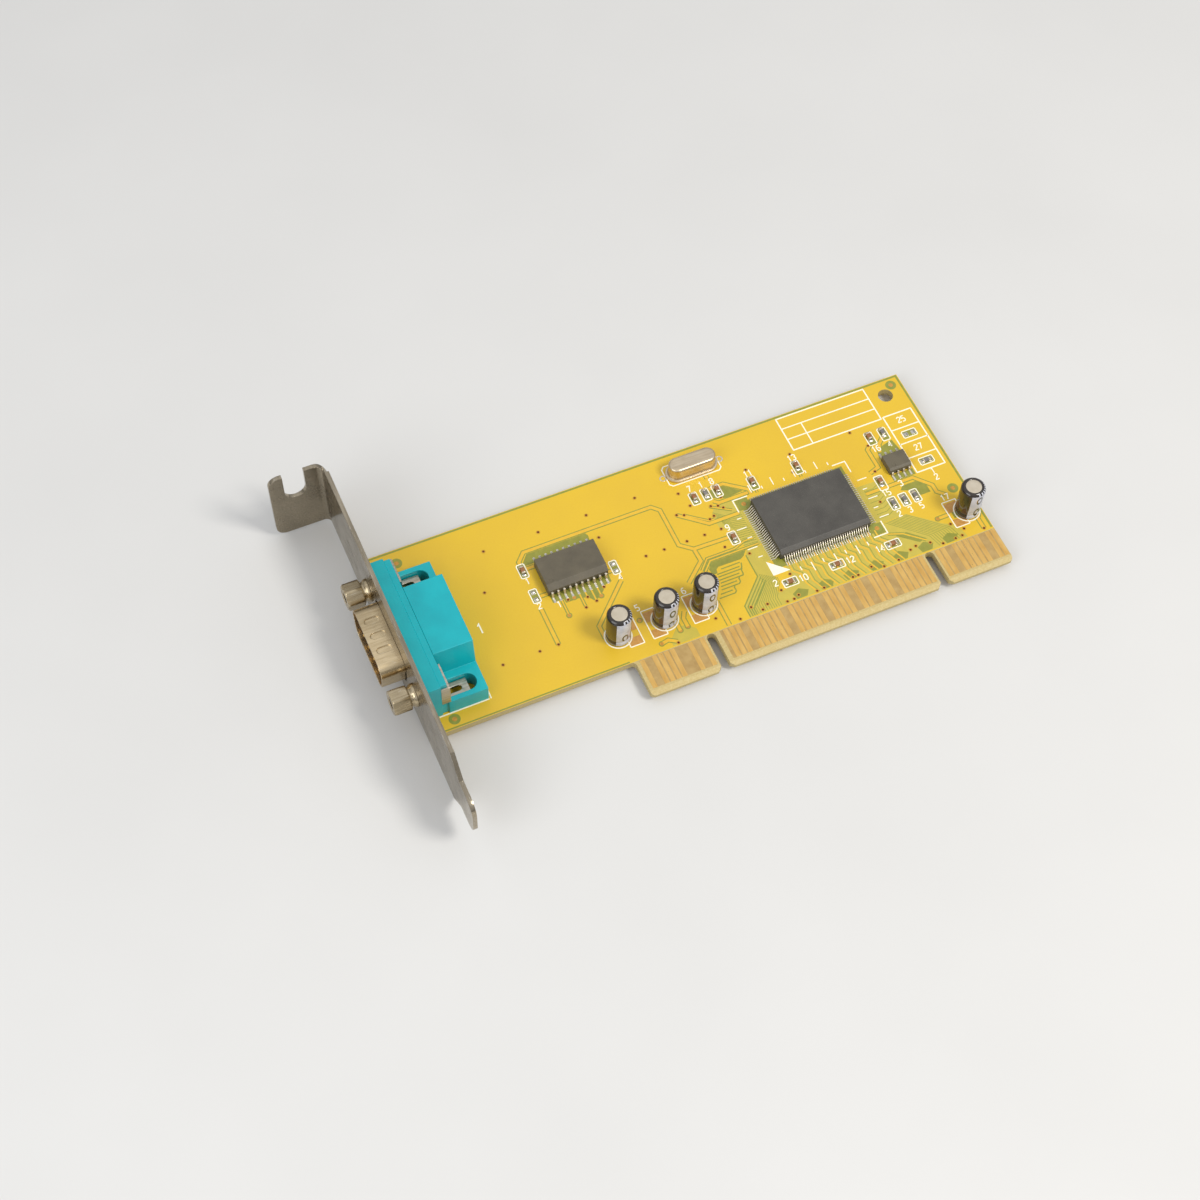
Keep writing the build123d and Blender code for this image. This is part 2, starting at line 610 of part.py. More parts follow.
def chip_body(chip):
    """Moulded chip body with a bevelled front edge and a dimple at its first lead."""
    width, depth = body_size(chip)
    x, y = chip["x"], chip["y"]
    y0, y1 = y - depth / 2, y + depth / 2
    drop = chip["bevel"] * 0.8
    outline = [(y0, chip["under"]), (y0, chip["top"] - drop), (y0 + chip["bevel"], chip["top"]),
               (y1, chip["top"]), (y1, chip["under"])]
    body = prism_x(outline, x - width / 2, x + width / 2)
    radius, sunk, margin = PIN_MARK
    mark_y = y0 + chip["bevel"] + margin / 2
    steps = [(chip["top"] - sunk, radius), (chip["top"] + 1, radius)]
    return body - sided_post(x - width / 2 + margin, mark_y, steps, WIRE_SIDES)


def gull_wing(chip, reach, half):
    """Outline of one lead in the plane of its bend: outward distance and height."""
    t = LEAD_PLATE
    top = chip["under"] + chip["exit"] * (chip["top"] - chip["under"])
    foot = reach - chip["foot"]
    if chip["straight"]:
        return [(reach, 0), (reach, t), (foot + t, t), (half, top), (half, top - t), (foot, 0)]
    knee = (half + foot) / 2
    return [(reach, 0), (reach, t), (foot + t, t), (knee + t, top), (half, top), (half, top - t),
            (knee, top - t), (foot, 0)]


def chip_leads(chip):
    """All leads of one chip, along X edges first and then along Y edges."""
    leads = []
    across = chip["lead"]
    for along_x in (True, False):
        count = chip["count"][0 if along_x else 1]
        reach = chip["span"][1 if along_x else 0] / 2
        half = body_size(chip)[1 if along_x else 0] / 2
        if not count:
            continue
        pitch = (body_size(chip)[0 if along_x else 1] - chip["spare"]) / (count - 1)
        outline = gull_wing(chip, reach, half)
        lead = prism_x(outline, -across / 2, across / 2)
        for s in (0, 180):
            for i in range(count):
                step = (i - (count - 1) / 2) * pitch
                turn = Rot(0, 0, s + (0 if along_x else -90))
                offset = (step, 0) if along_x else (0, step)
                leads.append(Pos(chip["x"] + offset[0], chip["y"] + offset[1], 0) * turn * lead)
    return Compound(leads)


def solder_cone(x, y, half):
    """Eight-sided fillet of solder under the board, round a tail of the given half width."""
    low = BOARD_BOTTOM - SOLDER_HEIGHT
    steps = [(low, half + SOLDER_CROWN), (BOARD_BOTTOM, half + SOLDER_FLANGE)]
    return sided_post(x, y, steps, WIRE_SIDES)


def make_solder():
    """Solder joints of every tail, lock prong and wire lead."""
    low = BOARD_BOTTOM - SOLDER_HEIGHT - 1
    half = TAIL_SIZE / 2
    joints = []
    for x, y in contact_tails():
        tail = block(x - half, x + half, y - half, y + half, low, 0)
        joints.append(solder_cone(x, y, half) - tail)
    for y in SCREW_YS:
        for x0, x1, y0, y1 in prong_places(y):
            cone = solder_cone((x0 + x1) / 2, (y0 + y1) / 2, (y1 - y0) / 2)
            joints.append(cone - block(x0, x1, y0, y1, low, 0))
    for x, y, radius in lead_places():
        joints.append(solder_cone(x, y, radius) - sided_post(x, y, [(low, radius), (0, radius)], WIRE_SIDES))
    return Compound(joints)


def chip_part(x, y, along_x, height):
    """Ceramic middle of a chip part and its two metal ends."""
    length, width = CHIP_SIZE
    inner = length / 2 - CHIP_END
    turn = Pos(x, y, 0) * Rot(0, 0, 0 if along_x else 90)
    body = turn * block(-inner, inner, -width / 2, width / 2, 0, height)
    ends = [turn * block(a, b, -width / 2, width / 2, 0, height)
            for a, b in ((-length / 2, -inner), (inner, length / 2))]
    return body, ends


def build_nodes():
    """Every piece of the card, by name."""
    nodes = {"circuit_board": make_board()}
    nodes["front_edge_contacts"] = make_contacts(FRONT_ABSENT, 0)
    nodes["back_edge_contacts"] = make_contacts(BACK_ABSENT, BOARD_BOTTOM - CONTACT_THICK)
    nodes["mounting_bracket"] = make_bracket()
    nodes["connector_shell"] = make_shell()
    nodes["connector_insert"] = make_insert()
    nodes["connector_housing"] = make_housing()
    nodes["upper_contact_row"] = contact_row(5, 1, UPPER_TAIL_X)
    nodes["lower_contact_row"] = contact_row(4, -1, LOWER_TAIL_X)
    for label, y, outward, turn in zip(("near", "far"), SCREW_YS, (-1, 1), SCREW_TURNS):
        nodes[f"jackscrew_{label}"] = make_jackscrew(y, turn)
        nodes[f"board_lock_{label}"] = make_board_lock(y, outward)
    for i, (x, y) in enumerate(CAN_PLACES, 1):
        wires = [(x, y - CAN_LEAD_PITCH / 2), (x, y + CAN_LEAD_PITCH / 2)]
        nodes[f"can_{i}_shell"] = make_can(x, y)
        nodes[f"can_{i}_sleeve"] = make_sleeve(x, y)
        bung_radius = CAN_RADIUS - CAN_SLEEVE
        steps = [(CAN_STANDOFF, bung_radius), (CAN_STANDOFF + BUNG_HEIGHT, bung_radius)]
        bung = sided_post(x, y, steps, CAN_SIDES)
        leads = make_leads(wires, CAN_STANDOFF, CAN_LEAD_RADIUS)
        nodes[f"can_{i}_bung"] = bung
        nodes[f"can_{i}_leads"] = leads
    length, width, thick = CRYSTAL_BASE
    steps = [(0, length, width), (thick, length, width)]
    nodes["crystal_base"] = oblong(CRYSTAL_X, CRYSTAL_Y, steps, END_SIDES)
    long, wide = CRYSTAL_CAN
    edge = CRYSTAL_EDGE
    steps = [(thick, long, wide), (CRYSTAL_HEIGHT - edge, long, wide),
             (CRYSTAL_HEIGHT, long - 2 * edge, wide - 2 * edge)]
    nodes["crystal_can"] = oblong(CRYSTAL_X, CRYSTAL_Y, steps, END_SIDES)
    half = CRYSTAL_LEAD_PITCH / 2
    nodes["crystal_leads"] = make_leads([(CRYSTAL_X - half, CRYSTAL_Y), (CRYSTAL_X + half, CRYSTAL_Y)],
                                        0, CRYSTAL_LEAD_RADIUS)
    for name, chip in (("controller", CONTROLLER), ("driver", DRIVER), ("memory", MEMORY)):
        nodes[f"{name}_body"] = chip_body(chip)
        nodes[f"{name}_leads"] = chip_leads(chip)
    all_ends = []
    for name, x, y, along_x in CHIP_PARTS:
        height = CHIP_CAP_HEIGHT if name.startswith("capacitor") else CHIP_RESISTOR_HEIGHT
        nodes[name], ends = chip_part(x, y, along_x, height)
        all_ends += ends
    nodes["chip_end_caps"] = Compound(all_ends)
    nodes["solder_joints"] = make_solder()
    return nodes


def main():
    """Write one STEP file a piece."""
    os.makedirs("parts", exist_ok=True)
    for name, solid in build_nodes().items():
        export_step(solid, f"parts/{name}.step")


main()
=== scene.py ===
import bmesh
import bpy
from math import cos, hypot, pi, radians, sin
from mathutils import Matrix, Vector


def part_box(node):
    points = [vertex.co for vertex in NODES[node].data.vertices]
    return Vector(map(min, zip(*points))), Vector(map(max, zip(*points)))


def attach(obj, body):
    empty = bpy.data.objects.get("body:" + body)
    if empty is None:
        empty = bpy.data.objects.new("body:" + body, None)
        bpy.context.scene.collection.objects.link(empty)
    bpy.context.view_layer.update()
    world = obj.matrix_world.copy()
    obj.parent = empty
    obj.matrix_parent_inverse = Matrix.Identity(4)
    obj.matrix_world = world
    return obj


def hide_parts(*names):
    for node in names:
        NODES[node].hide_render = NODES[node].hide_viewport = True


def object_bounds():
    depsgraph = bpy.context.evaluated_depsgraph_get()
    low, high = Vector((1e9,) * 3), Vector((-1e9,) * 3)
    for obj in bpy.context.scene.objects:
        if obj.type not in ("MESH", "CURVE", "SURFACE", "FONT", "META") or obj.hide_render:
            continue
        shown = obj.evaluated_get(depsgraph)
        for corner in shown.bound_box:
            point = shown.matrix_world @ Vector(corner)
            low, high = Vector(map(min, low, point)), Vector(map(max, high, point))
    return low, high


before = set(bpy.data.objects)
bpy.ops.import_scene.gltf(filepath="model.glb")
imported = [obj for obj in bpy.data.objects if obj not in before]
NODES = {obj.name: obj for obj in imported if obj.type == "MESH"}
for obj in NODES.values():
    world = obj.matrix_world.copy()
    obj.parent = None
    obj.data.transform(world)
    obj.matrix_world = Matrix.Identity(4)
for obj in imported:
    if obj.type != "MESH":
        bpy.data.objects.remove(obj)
cad_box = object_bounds()
MM = 0.001
BOTH_WAYS = (-1, 1)


# Places that several pieces share, in millimetres

LEFT, RIGHT, TOP = -56.4, 63.5, 42.1
UNDER = -1.6
NOTCH_STEP = 48.26
CAN_PLACES = ((-16.6, 6.5), (-6.65, 6.5), (1.87, 6.6), (60.5, 5.95))
CRYSTAL_X, CRYSTAL_Y = 13.25, 36.9
PORT_Y = 19.0
PORT_HALF_SPACING = 12.495


# Colours and materials

COAT_ROUGHNESS = 0.12
NOISE_ROUGHNESS = 0.55
MIDDLE = (0.3, 0.7)  # most values of a noise lie between these
MIX_FACTOR, MIX_FIRST, MIX_SECOND, MIX_RESULT = 0, 6, 7, 2  # sockets of a colour mix


def rgb(r, g, b):
    """Linear colour from the eight-bit values of a screen colour."""
    parts = [c / 255 for c in (r, g, b)]
    linear = [c / 12.92 if c <= 0.04045 else ((c + 0.055) / 1.055) ** 2.4 for c in parts]
    return (*linear, 1.0)


class Paint:
    """A material, with short ways to build its nodes."""

    def __init__(self, name, rough, metal=0.0, coat=0.0):
        self.mat = bpy.data.materials.new(name)
        self.mat.use_nodes = True
        self.tree = self.mat.node_tree
        self.shader = self.tree.nodes["Principled BSDF"]
        for key, value in (("Roughness", rough), ("Metallic", metal), ("Coat Weight", coat),
                           ("Coat Roughness", COAT_ROUGHNESS)):
            self.shader.inputs[key].default_value = value
        self.coords = self.node("ShaderNodeTexCoord").outputs["Object"]

    def node(self, kind, **settings):
        made = self.tree.nodes.new(kind)
        for key, value in settings.items():
            setattr(made, key, value)
        return made

    def put(self, socket, value):
        if isinstance(value, bpy.types.NodeSocket):
            self.tree.links.new(value, socket)
        else:
            socket.default_value = value

    def noise(self, per_mm, detail=3.0, stretch=(1, 1, 1)):
        mapping = self.node("ShaderNodeMapping")
        mapping.inputs["Scale"].default_value = stretch
        self.put(mapping.inputs["Vector"], self.coords)
        made = self.node("ShaderNodeTexNoise")
        self.put(made.inputs["Vector"], mapping.outputs["Vector"])
        made.inputs["Scale"].default_value = per_mm / MM
        made.inputs["Detail"].default_value = detail
        made.inputs["Roughness"].default_value = NOISE_ROUGHNESS
        return made.outputs["Fac"]

    def span(self, value, low, high, to_low=0.0, to_high=1.0):
        made = self.node("ShaderNodeMapRange")
        self.put(made.inputs["Value"], value)
        for key, number in (("From Min", low), ("From Max", high), ("To Min", to_low),
                            ("To Max", to_high)):
            made.inputs[key].default_value = number
        return made.outputs["Result"]

    def mix(self, factor, first, second):
        made = self.node("ShaderNodeMix", data_type="RGBA")
        self.put(made.inputs[MIX_FACTOR], factor)
        self.put(made.inputs[MIX_FIRST], first)
        self.put(made.inputs[MIX_SECOND], second)
        return made.outputs[MIX_RESULT]

    def calc(self, how, first, second=0.0):
        made = self.node("ShaderNodeMath", operation=how)
        self.put(made.inputs[0], first)
        self.put(made.inputs[1], second)
        return made.outputs[0]

    def share(self, factor, amount):
        """A factor that reaches no further than an amount."""
        return self.calc("MULTIPLY", factor, amount)

    def axis(self, name, vector=None):
        made = self.node("ShaderNodeSeparateXYZ")
        self.put(made.inputs[0], vector or self.coords)
        return made.outputs[name]

    def colour(self, value):
        self.put(self.shader.inputs["Base Color"], value)

    def rough(self, value):
        self.put(self.shader.inputs["Roughness"], value)

    def bump(self, height, depth_mm):
        made = self.node("ShaderNodeBump")
        made.inputs["Strength"].default_value = 1.0
        made.inputs["Distance"].default_value = depth_mm * MM
        self.put(made.inputs["Height"], height)
        self.put(self.shader.inputs["Normal"], made.outputs["Normal"])


def mottled(name, light, dark, per_mm, rough, spread, metal=0.0, depth=0.01, grain=12.0,
            stretch=(1, 1, 1), coat=0.0):
    """Two close tones in soft patches, with uneven gloss and a fine grain."""
    paint = Paint(name, rough, metal, coat)
    patches = paint.span(paint.noise(per_mm, 4.0, stretch), *MIDDLE)
    paint.colour(paint.mix(patches, rgb(*light), rgb(*dark)))
    gloss = paint.noise(per_mm * 1.7, 3.0, stretch)
    paint.rough(paint.span(gloss, *MIDDLE, rough - spread, rough + spread))
    paint.bump(paint.noise(grain, 2.0, stretch), depth)
    return paint.mat


def masked(name, light, dark, per_mm):
    """Smooth, glossy solder mask over whatever lies below it."""
    return mottled(name, light, dark, per_mm, 0.34, 0.05, depth=0.004, grain=3.0)


def board_paint():
    """Mask on both faces, bare laminate on the contact tab, layered glass cloth at the edges."""
    level = 0.9
    mask_start = 0.02
    cloth_layer = 0.2
    paint = Paint("board_mask_and_laminate", 0.4)
    normal = paint.node("ShaderNodeTexCoord").outputs["Normal"]
    facing = paint.calc("GREATER_THAN", paint.calc("ABSOLUTE", paint.axis("Z", normal)), level)
    above = paint.calc("GREATER_THAN", paint.axis("Y"), mask_start * MM)
    covered = paint.calc("MULTIPLY", facing, above)
    cloud = paint.span(paint.noise(0.05, 3.0), 0.35, 0.65)
    fine = paint.span(paint.noise(2.6, 3.0), 0.25, 0.75)
    mask = paint.mix(cloud, rgb(224, 186, 42), rgb(218, 180, 46))
    mask = paint.mix(paint.share(fine, 0.35), mask, rgb(214, 172, 40))
    bare = paint.mix(fine, rgb(200, 182, 128), rgb(184, 160, 98))
    layers = paint.calc("SINE", paint.share(paint.axis("Z"), 2 * pi / (cloth_layer * MM)))
    edge = paint.mix(paint.span(layers, -0.6, 0.6), rgb(188, 170, 116), rgb(160, 138, 82))
    edge = paint.mix(paint.share(fine, 0.5), edge, rgb(206, 192, 142))
    paint.colour(paint.mix(covered, paint.mix(facing, edge, bare), mask))
    gloss = paint.span(paint.noise(0.4, 3.0), *MIDDLE, -0.05, 0.05)
    paint.rough(paint.calc("ADD", paint.span(covered, 0.0, 1.0, 0.62, 0.36), gloss))
    weave = [paint.noise(3.0, 1.0, stretch) for stretch in ((1, 0.15, 1), (0.15, 1, 1))]
    paint.bump(paint.calc("ADD", *weave), 0.012)
    return paint.mat


def steel_paint(name, light, dark, rough, along):
    """Plated sheet steel: rolling marks one way, soft stains, tiny bright scratches."""
    stretch = tuple(0.06 if axis == along else 1 for axis in "XYZ")
    stained = [int(c * 0.72) for c in dark]
    paint = Paint(name, rough, 1.0)
    marks = paint.span(paint.noise(3.0, 3.0, stretch), *MIDDLE)
    stains = paint.span(paint.noise(0.12, 4.0), 0.35, 0.7)
    base = paint.mix(marks, rgb(*light), rgb(*dark))
    base = paint.mix(paint.share(stains, 0.45), base, rgb(*stained))
    scratch = paint.span(paint.noise(7.0, 2.0, stretch), 0.66, 0.72)
    paint.colour(paint.mix(paint.share(scratch, 0.5), base, rgb(240, 234, 220)))
    paint.rough(paint.calc("ADD", paint.span(marks, 0, 1, rough - 0.05, rough + 0.06),
                           paint.span(stains, 0, 1, 0.0, 0.1)))
    paint.bump(paint.noise(5.0, 3.0, stretch), 0.008)
    return paint.mat


def chip_paint(name, light, dark):
    """Moulding compound: charcoal with pale filler grains and a fine sparked surface."""
    paint = Paint(name, 0.5)
    cloud = paint.span(paint.noise(0.2, 3.0), 0.35, 0.65)
    base = paint.mix(cloud, rgb(*light), rgb(*dark))
    grains = paint.span(paint.noise(14.0, 2.0), 0.62, 0.7)
    paint.colour(paint.mix(paint.share(grains, 0.4), base, rgb(140, 134, 122)))
    paint.rough(paint.span(paint.noise(4.0, 2.0), *MIDDLE, 0.42, 0.56))
    paint.bump(paint.noise(12.0, 3.0), 0.01)
    return paint.mat


def ink_paint():
    """Printed ink, thin in places so that a little of the mask shows."""
    paint = Paint("white_ink", 0.55)
    worn = paint.span(paint.noise(3.5, 3.0), 0.55, 0.75)
    paint.colour(paint.mix(paint.share(worn, 0.5), rgb(250, 244, 222), rgb(238, 212, 120)))
    paint.bump(paint.noise(6.0, 2.0), 0.006)
    return paint.mat


BOARD = board_paint()
GAP = masked("mask_gap_line", (146, 150, 62), (130, 138, 54), 1.1)
# Greener mask over bare laminate; the same paint also serves as painted shade under the
# controller's leads
GREEN = masked("mask_over_laminate_and_lead_shade", (150, 148, 58), (134, 134, 50), 0.7)
OLIVE = masked("mask_over_fine_runs", (200, 180, 70), (188, 172, 70), 0.5)
TRACE = masked("mask_over_copper", (228, 185, 50), (222, 173, 50), 0.8)
COPPER = mottled("bare_copper", (208, 156, 84), (190, 136, 64), 1.3, 0.45, 0.08,
                 metal=0.1, depth=0.01, grain=5.0)
SHADE = mottled("laminate_over_copper", (186, 156, 98), (164, 132, 76), 0.5, 0.5, 0.07,
                depth=0.01, grain=4.0)
INK = ink_paint()
# Open via holes: the barrel's copper, darkened as painted shade inside the hole
VIA = mottled("via_copper_and_hole_shade", (118, 44, 14), (74, 26, 10), 2.5, 0.35, 0.1, metal=0.3)
HALO = mottled("via_halo", (206, 160, 50), (188, 140, 44), 2.5, 0.35, 0.08)
BARREL_RIM = mottled("via_rim", (206, 152, 62), (180, 126, 48), 2.5, 0.35, 0.08)
GOLD = mottled("contact_gold", (226, 186, 108), (206, 160, 82), 0.7, 0.36, 0.1,
               metal=0.45, depth=0.006, grain=6.0, stretch=(1, 0.3, 1))
PIN_GOLD = mottled("pin_gold", (222, 184, 104), (196, 150, 72), 1.2, 0.28, 0.06,
                   metal=1.0, depth=0.004, grain=6.0, stretch=(0.2, 1, 1))
STEEL = steel_paint("bracket_zinc", (184, 173, 152), (152, 141, 121), 0.19, "Y")
PORT_STEEL = steel_paint("port_tin_plate", (234, 213, 174), (206, 184, 144), 0.2, "X")
SCREW_STEEL = steel_paint("jackscrew_nickel", (220, 204, 172), (188, 170, 136), 0.2, "X")
LOCK_STEEL = steel_paint("lock_tin_plate", (214, 208, 194), (184, 174, 154), 0.3, "X")
TINNED = mottled("tinned_lead", (238, 228, 208), (206, 194, 172), 1.8, 0.28, 0.08,
                 metal=0.85, depth=0.006, grain=8.0)
SOLDER = mottled("solder", (224, 220, 210), (182, 178, 166), 1.1, 0.24, 0.1,
                 metal=1.0, depth=0.01, grain=4.0)
HOUSING = mottled("housing_plastic", (6, 178, 186), (2, 162, 172), 0.15, 0.38, 0.05,
                  depth=0.006, grain=9.0)
INSERT = mottled("insert_plastic", (26, 27, 28), (18, 19, 20), 0.2, 0.5, 0.05,
                 depth=0.006, grain=9.0)
CHIP = chip_paint("controller_compound", (80, 77, 71), (68, 65, 60))
SMALL_CHIP = chip_paint("small_chip_compound", (100, 92, 74), (86, 79, 64))
CRYSTAL = steel_paint("crystal_can", (236, 218, 188), (214, 194, 162), 0.3, "X")
ALUMINIUM = mottled("can_top", (198, 188, 169), (184, 173, 152), 0.8, 0.36, 0.06,
                    metal=0.2, depth=0.006, grain=5.0)
SLEEVE = mottled("can_sleeve", (44, 35, 27), (30, 25, 21), 0.4, 0.17, 0.05,
                 depth=0.012, grain=1.5, coat=0.5)
STRIPE = mottled("sleeve_print", (206, 208, 216), (174, 176, 184), 0.8, 0.22, 0.05,
                 depth=0.006, grain=2.0)
BUNG = mottled("rubber_bung", (52, 48, 45), (36, 33, 31), 0.9, 0.7, 0.08,
               depth=0.02, grain=5.0)
CERAMIC = mottled("capacitor_ceramic", (160, 108, 66), (132, 84, 50), 1.4, 0.5, 0.08,
                  depth=0.008, grain=8.0)
RESISTOR = mottled("resistor_glaze", (134, 130, 124), (104, 100, 96), 1.4, 0.36, 0.07,
                   depth=0.006, grain=8.0)
FLOOR = mottled("floor", (214, 213, 210), (209, 208, 205), 0.01, 0.75, 0.04,
                depth=0.01, grain=0.5)


# Mesh shapes, in millimetres

HEIGHT_STEP, HEIGHT_STEPS = 0.0006, 9
SHARPEST_MITRE = 0.45
SPLIT_ANGLE = 38
WELD_DISTANCE = 0.0005
FILLET_OUTWARDS = (0.0, 0.2, 0.45, 0.75, 1.0)
FILLET_ACROSS = (-1.0, -0.7, -0.25, 0.25, 0.7, 1.0)
FILLET_EDGE, FILLET_SINK = 0.03, 0.01


def circle(x, y, r, sides):
    """Points round a circle."""
    turns = [2 * pi * i / sides for i in range(sides)]
    return [(x + r * cos(a), y + r * sin(a)) for a in turns]


class Layer:
    """Gathers closed shapes that become one piece."""

    def __init__(self, name):
        self.name = name
        self.verts = []
        self.faces = []
        self.count = 0

    def loft(self, rings, closed=False):
        """Skin through rings with the same number of points."""
        n = len(rings[0])
        start = len(self.verts)
        for ring in rings:
            self.verts += ring
        last = len(rings) if closed else len(rings) - 1
        for k in range(last):
            a, b = start + k * n, start + (k + 1) % len(rings) * n
            for i in range(n):
                j = (i + 1) % n
                self.faces.append((a + i, a + j, b + j, b + i))
        if not closed:
            end = start + (len(rings) - 1) * n
            self.faces.append(tuple(reversed(range(start, start + n))))
            self.faces.append(tuple(range(end, end + n)))

    def stagger(self, z0, z1):
        """Height for the next flat shape, a hair off its neighbours so that none flickers."""
        self.count += 1
        return z1 + (self.count % HEIGHT_STEPS) * HEIGHT_STEP * (1 if z1 > z0 else -1)

    def slab(self, outline, z0, z1):
        """Upright prism on a flat outline."""
        z1 = self.stagger(z0, z1)
        self.loft([[(x, y, z) for x, y in outline] for z in (z0, z1)])

    def box(self, x0, y0, x1, y1, z0, z1):
        """Upright prism on a rectangle."""
        self.slab([(x0, y0), (x1, y0), (x1, y1), (x0, y1)], z0, z1)

    def ribbon(self, points, width, z0, z1, closed=False):
        """Flat strip along a path, with mitred corners."""
        z1 = self.stagger(z0, z1)
        rings = []
        n = len(points)
        for i, (x, y) in enumerate(points):
            before = points[(i - 1) % n] if closed or i else None
            after = points[(i + 1) % n] if closed or i < n - 1 else None
            ways = []
            if before:
                ways.append((x - before[0], y - before[1]))
            if after:
                ways.append((after[0] - x, after[1] - y))
            ways = [(dx / hypot(dx, dy), dy / hypot(dx, dy)) for dx, dy in ways]
            mx, my = -sum(w[1] for w in ways), sum(w[0] for w in ways)
            size = hypot(mx, my) or 1.0
            mx, my = mx / size, my / size
            square = abs(-mx * ways[0][1] + my * ways[0][0])
            reach = width / 2 / max(SHARPEST_MITRE, square)
            a, b = (x + mx * reach, y + my * reach), (x - mx * reach, y - my * reach)
            rings.append([(*a, z0), (*a, z1), (*b, z1), (*b, z0)])
        self.loft(rings, closed)

    def disc(self, x, y, r, z0, z1, sides):
        """Flat round dot."""
        self.slab(circle(x, y, r, sides), z0, z1)

    def ring(self, x, y, r0, r1, z0, z1, sides=28):
        """Flat ring."""
        self.ribbon(circle(x, y, (r0 + r1) / 2, sides), r1 - r0, z0, z1, True)

    def lathe(self, x, y, profile, sides, closed=False):
        """Round shape about an upright axis, through (radius, z) steps."""
        self.loft([[(px, py, z) for px, py in circle(x, y, r, sides)] for r, z in profile], closed)

    def lump(self, x, y, way, length, width, height, base):
        """Solder fillet that climbs towards the part: way points from the part outwards."""
        dx, dy = way
        rings = []
        for step in FILLET_OUTWARDS:
            wide = width / 2 * (1 - 0.25 * step ** 3)
            heights = [height * (1 - step) ** 1.8 * (1 - 0.75 * abs(v) ** 3) + FILLET_EDGE
                       for v in FILLET_ACROSS]
            corners = [(v, base + rise) for v, rise in zip(FILLET_ACROSS, heights)]
            corners += [(1.0, base - FILLET_SINK), (-1.0, base - FILLET_SINK)]
            rings.append([(x + dx * length * step - dy * wide * v,
                           y + dy * length * step + dx * wide * v, z) for v, z in corners])
        self.loft(rings)

    def done(self, paint, slot, replaces=(), smooth=False, bevel=0.0):
        """Makes the Blender object and rides it on the card."""
        mesh = bpy.data.meshes.new(self.name)
        mesh.from_pydata([(x * MM, y * MM, z * MM) for x, y, z in self.verts], [], self.faces)
        mesh.materials.append(paint)
        piece = bpy.data.objects.new(self.name, mesh)
        bpy.context.collection.objects.link(piece)
        fix_normals(mesh)
        for face in mesh.polygons:
            face.use_smooth = smooth
        if bevel:
            soften(piece, bevel)
        elif smooth:
            piece.modifiers.new("split", "EDGE_SPLIT").split_angle = radians(SPLIT_ANGLE)
        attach(piece, "root")
        if replaces:
            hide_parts(*replaces)
        return piece


def fix_normals(mesh):
    """Turns every face outwards."""
    work = bmesh.new()
    work.from_mesh(mesh)
    bmesh.ops.recalc_face_normals(work, faces=work.faces)
    work.to_mesh(mesh)
    work.free()


def soften(piece, width_mm, angle=35, segments=2):
    """Small rounded edge, as every real moulded or stamped edge has."""
    weld = piece.modifiers.new("weld", "WELD")
    weld.merge_threshold = WELD_DISTANCE * MM
    bevel = piece.modifiers.new("bevel", "BEVEL")
    bevel.limit_method = "ANGLE"
    bevel.angle_limit = radians(angle)
    bevel.width = width_mm * MM
    bevel.segments = segments
    bevel.use_clamp_overlap = True
    piece.modifiers.new("normals", "WEIGHTED_NORMAL").keep_sharp = False


def dress(names, paint, bevel=0.0, angle=35, segments=2):
    """Material and softened edges for CAD nodes that stay."""
    for name in names:
        piece = NODES[name]
        for slot in piece.material_slots:
            slot.material = paint
        if bevel:
            for face in piece.data.polygons:
                face.use_smooth = True
            soften(piece, bevel, angle, segments)


# CAD nodes that stay, with their materials

CANS = ["can_1", "can_2", "can_3", "can_4"]
dress(["circuit_board"], BOARD)
dress(["front_edge_contacts", "back_edge_contacts"], GOLD, 0.02, 60, 1)
dress(["mounting_bracket"], STEEL, 0.12, 35, 3)
dress(["connector_shell"], PORT_STEEL, 0.08)
dress(["connector_insert"], INSERT, 0.04, 50, 1)
dress(["connector_housing"], HOUSING, 0.16, 35, 3)
dress(["upper_contact_row", "lower_contact_row"], PIN_GOLD, 0.05, 50, 1)
dress(["board_lock_near", "board_lock_far"], LOCK_STEEL, 0.08)
dress(["controller_body"], CHIP, 0.07, 20)
dress(["driver_body", "memory_body"], SMALL_CHIP, 0.07, 20)
dress(["controller_leads", "driver_leads", "memory_leads", "crystal_leads"], TINNED, 0.03, 40, 1)
dress([can + "_bung" for can in CANS], BUNG)
dress([can + "_leads" for can in CANS], TINNED)
dress([name for name in NODES if name.startswith("capacitor_")], CERAMIC, 0.05, 40)
dress([name for name in NODES if name.startswith(("resistor_", "jumper_"))], RESISTOR, 0.04, 40)
dress(["chip_end_caps"], TINNED, 0.05, 40)


# Board graphics: thin layers on the mask, each a little higher than the one before

olive = Layer("olive_areas")
greens = Layer("green_areas")
gaps = Layer("gap_lines")
traces = Layer("mask_traces")
copper_shade = Layer("tab_laminate_shade")
copper = Layer("bare_copper_pads")
ink = Layer("silkscreen")
holes = Layer("via_dots_and_hole_shade")
halos = Layer("via_halos")
rims = Layer("via_rims")
LOW, Z_OLIVE, Z_GREEN, Z_GAP, Z_TRACE, Z_INK = -0.01, 0.006, 0.012, 0.018, 0.026, 0.038
Z_RIM, Z_HALO, Z_HOLE, Z_TENTED, Z_TARGET, Z_COPPER = 0.026, 0.03, 0.036, 0.028, 0.03, 0.03
RUN, THIN_RUN, POUR_GAP = 0.68, 0.3, 0.2
FINE_LINE, COMB_LINE = 0.1, 0.24
MARK_LINE, INK_LINE, TABLE_LINE = 0.22, 0.25, 0.28
VIA_RIM, VIA_HOLE = 0.42, 0.24
CAN_RING = (2.55, 2.82)


def gap_line(points, width):
    """Line where the copper under the mask is held back."""
    gaps.ribbon(points, width, LOW, Z_GAP)


def trace(points, width):
    """Copper run with the pour held back on both sides."""
    gap_line(points, width + 2 * POUR_GAP)
    traces.ribbon(points, width, LOW, Z_TRACE)


def ink_line(points, width, closed=False):
    """Printed line."""
    ink.ribbon(points, width, LOW, Z_INK, closed)


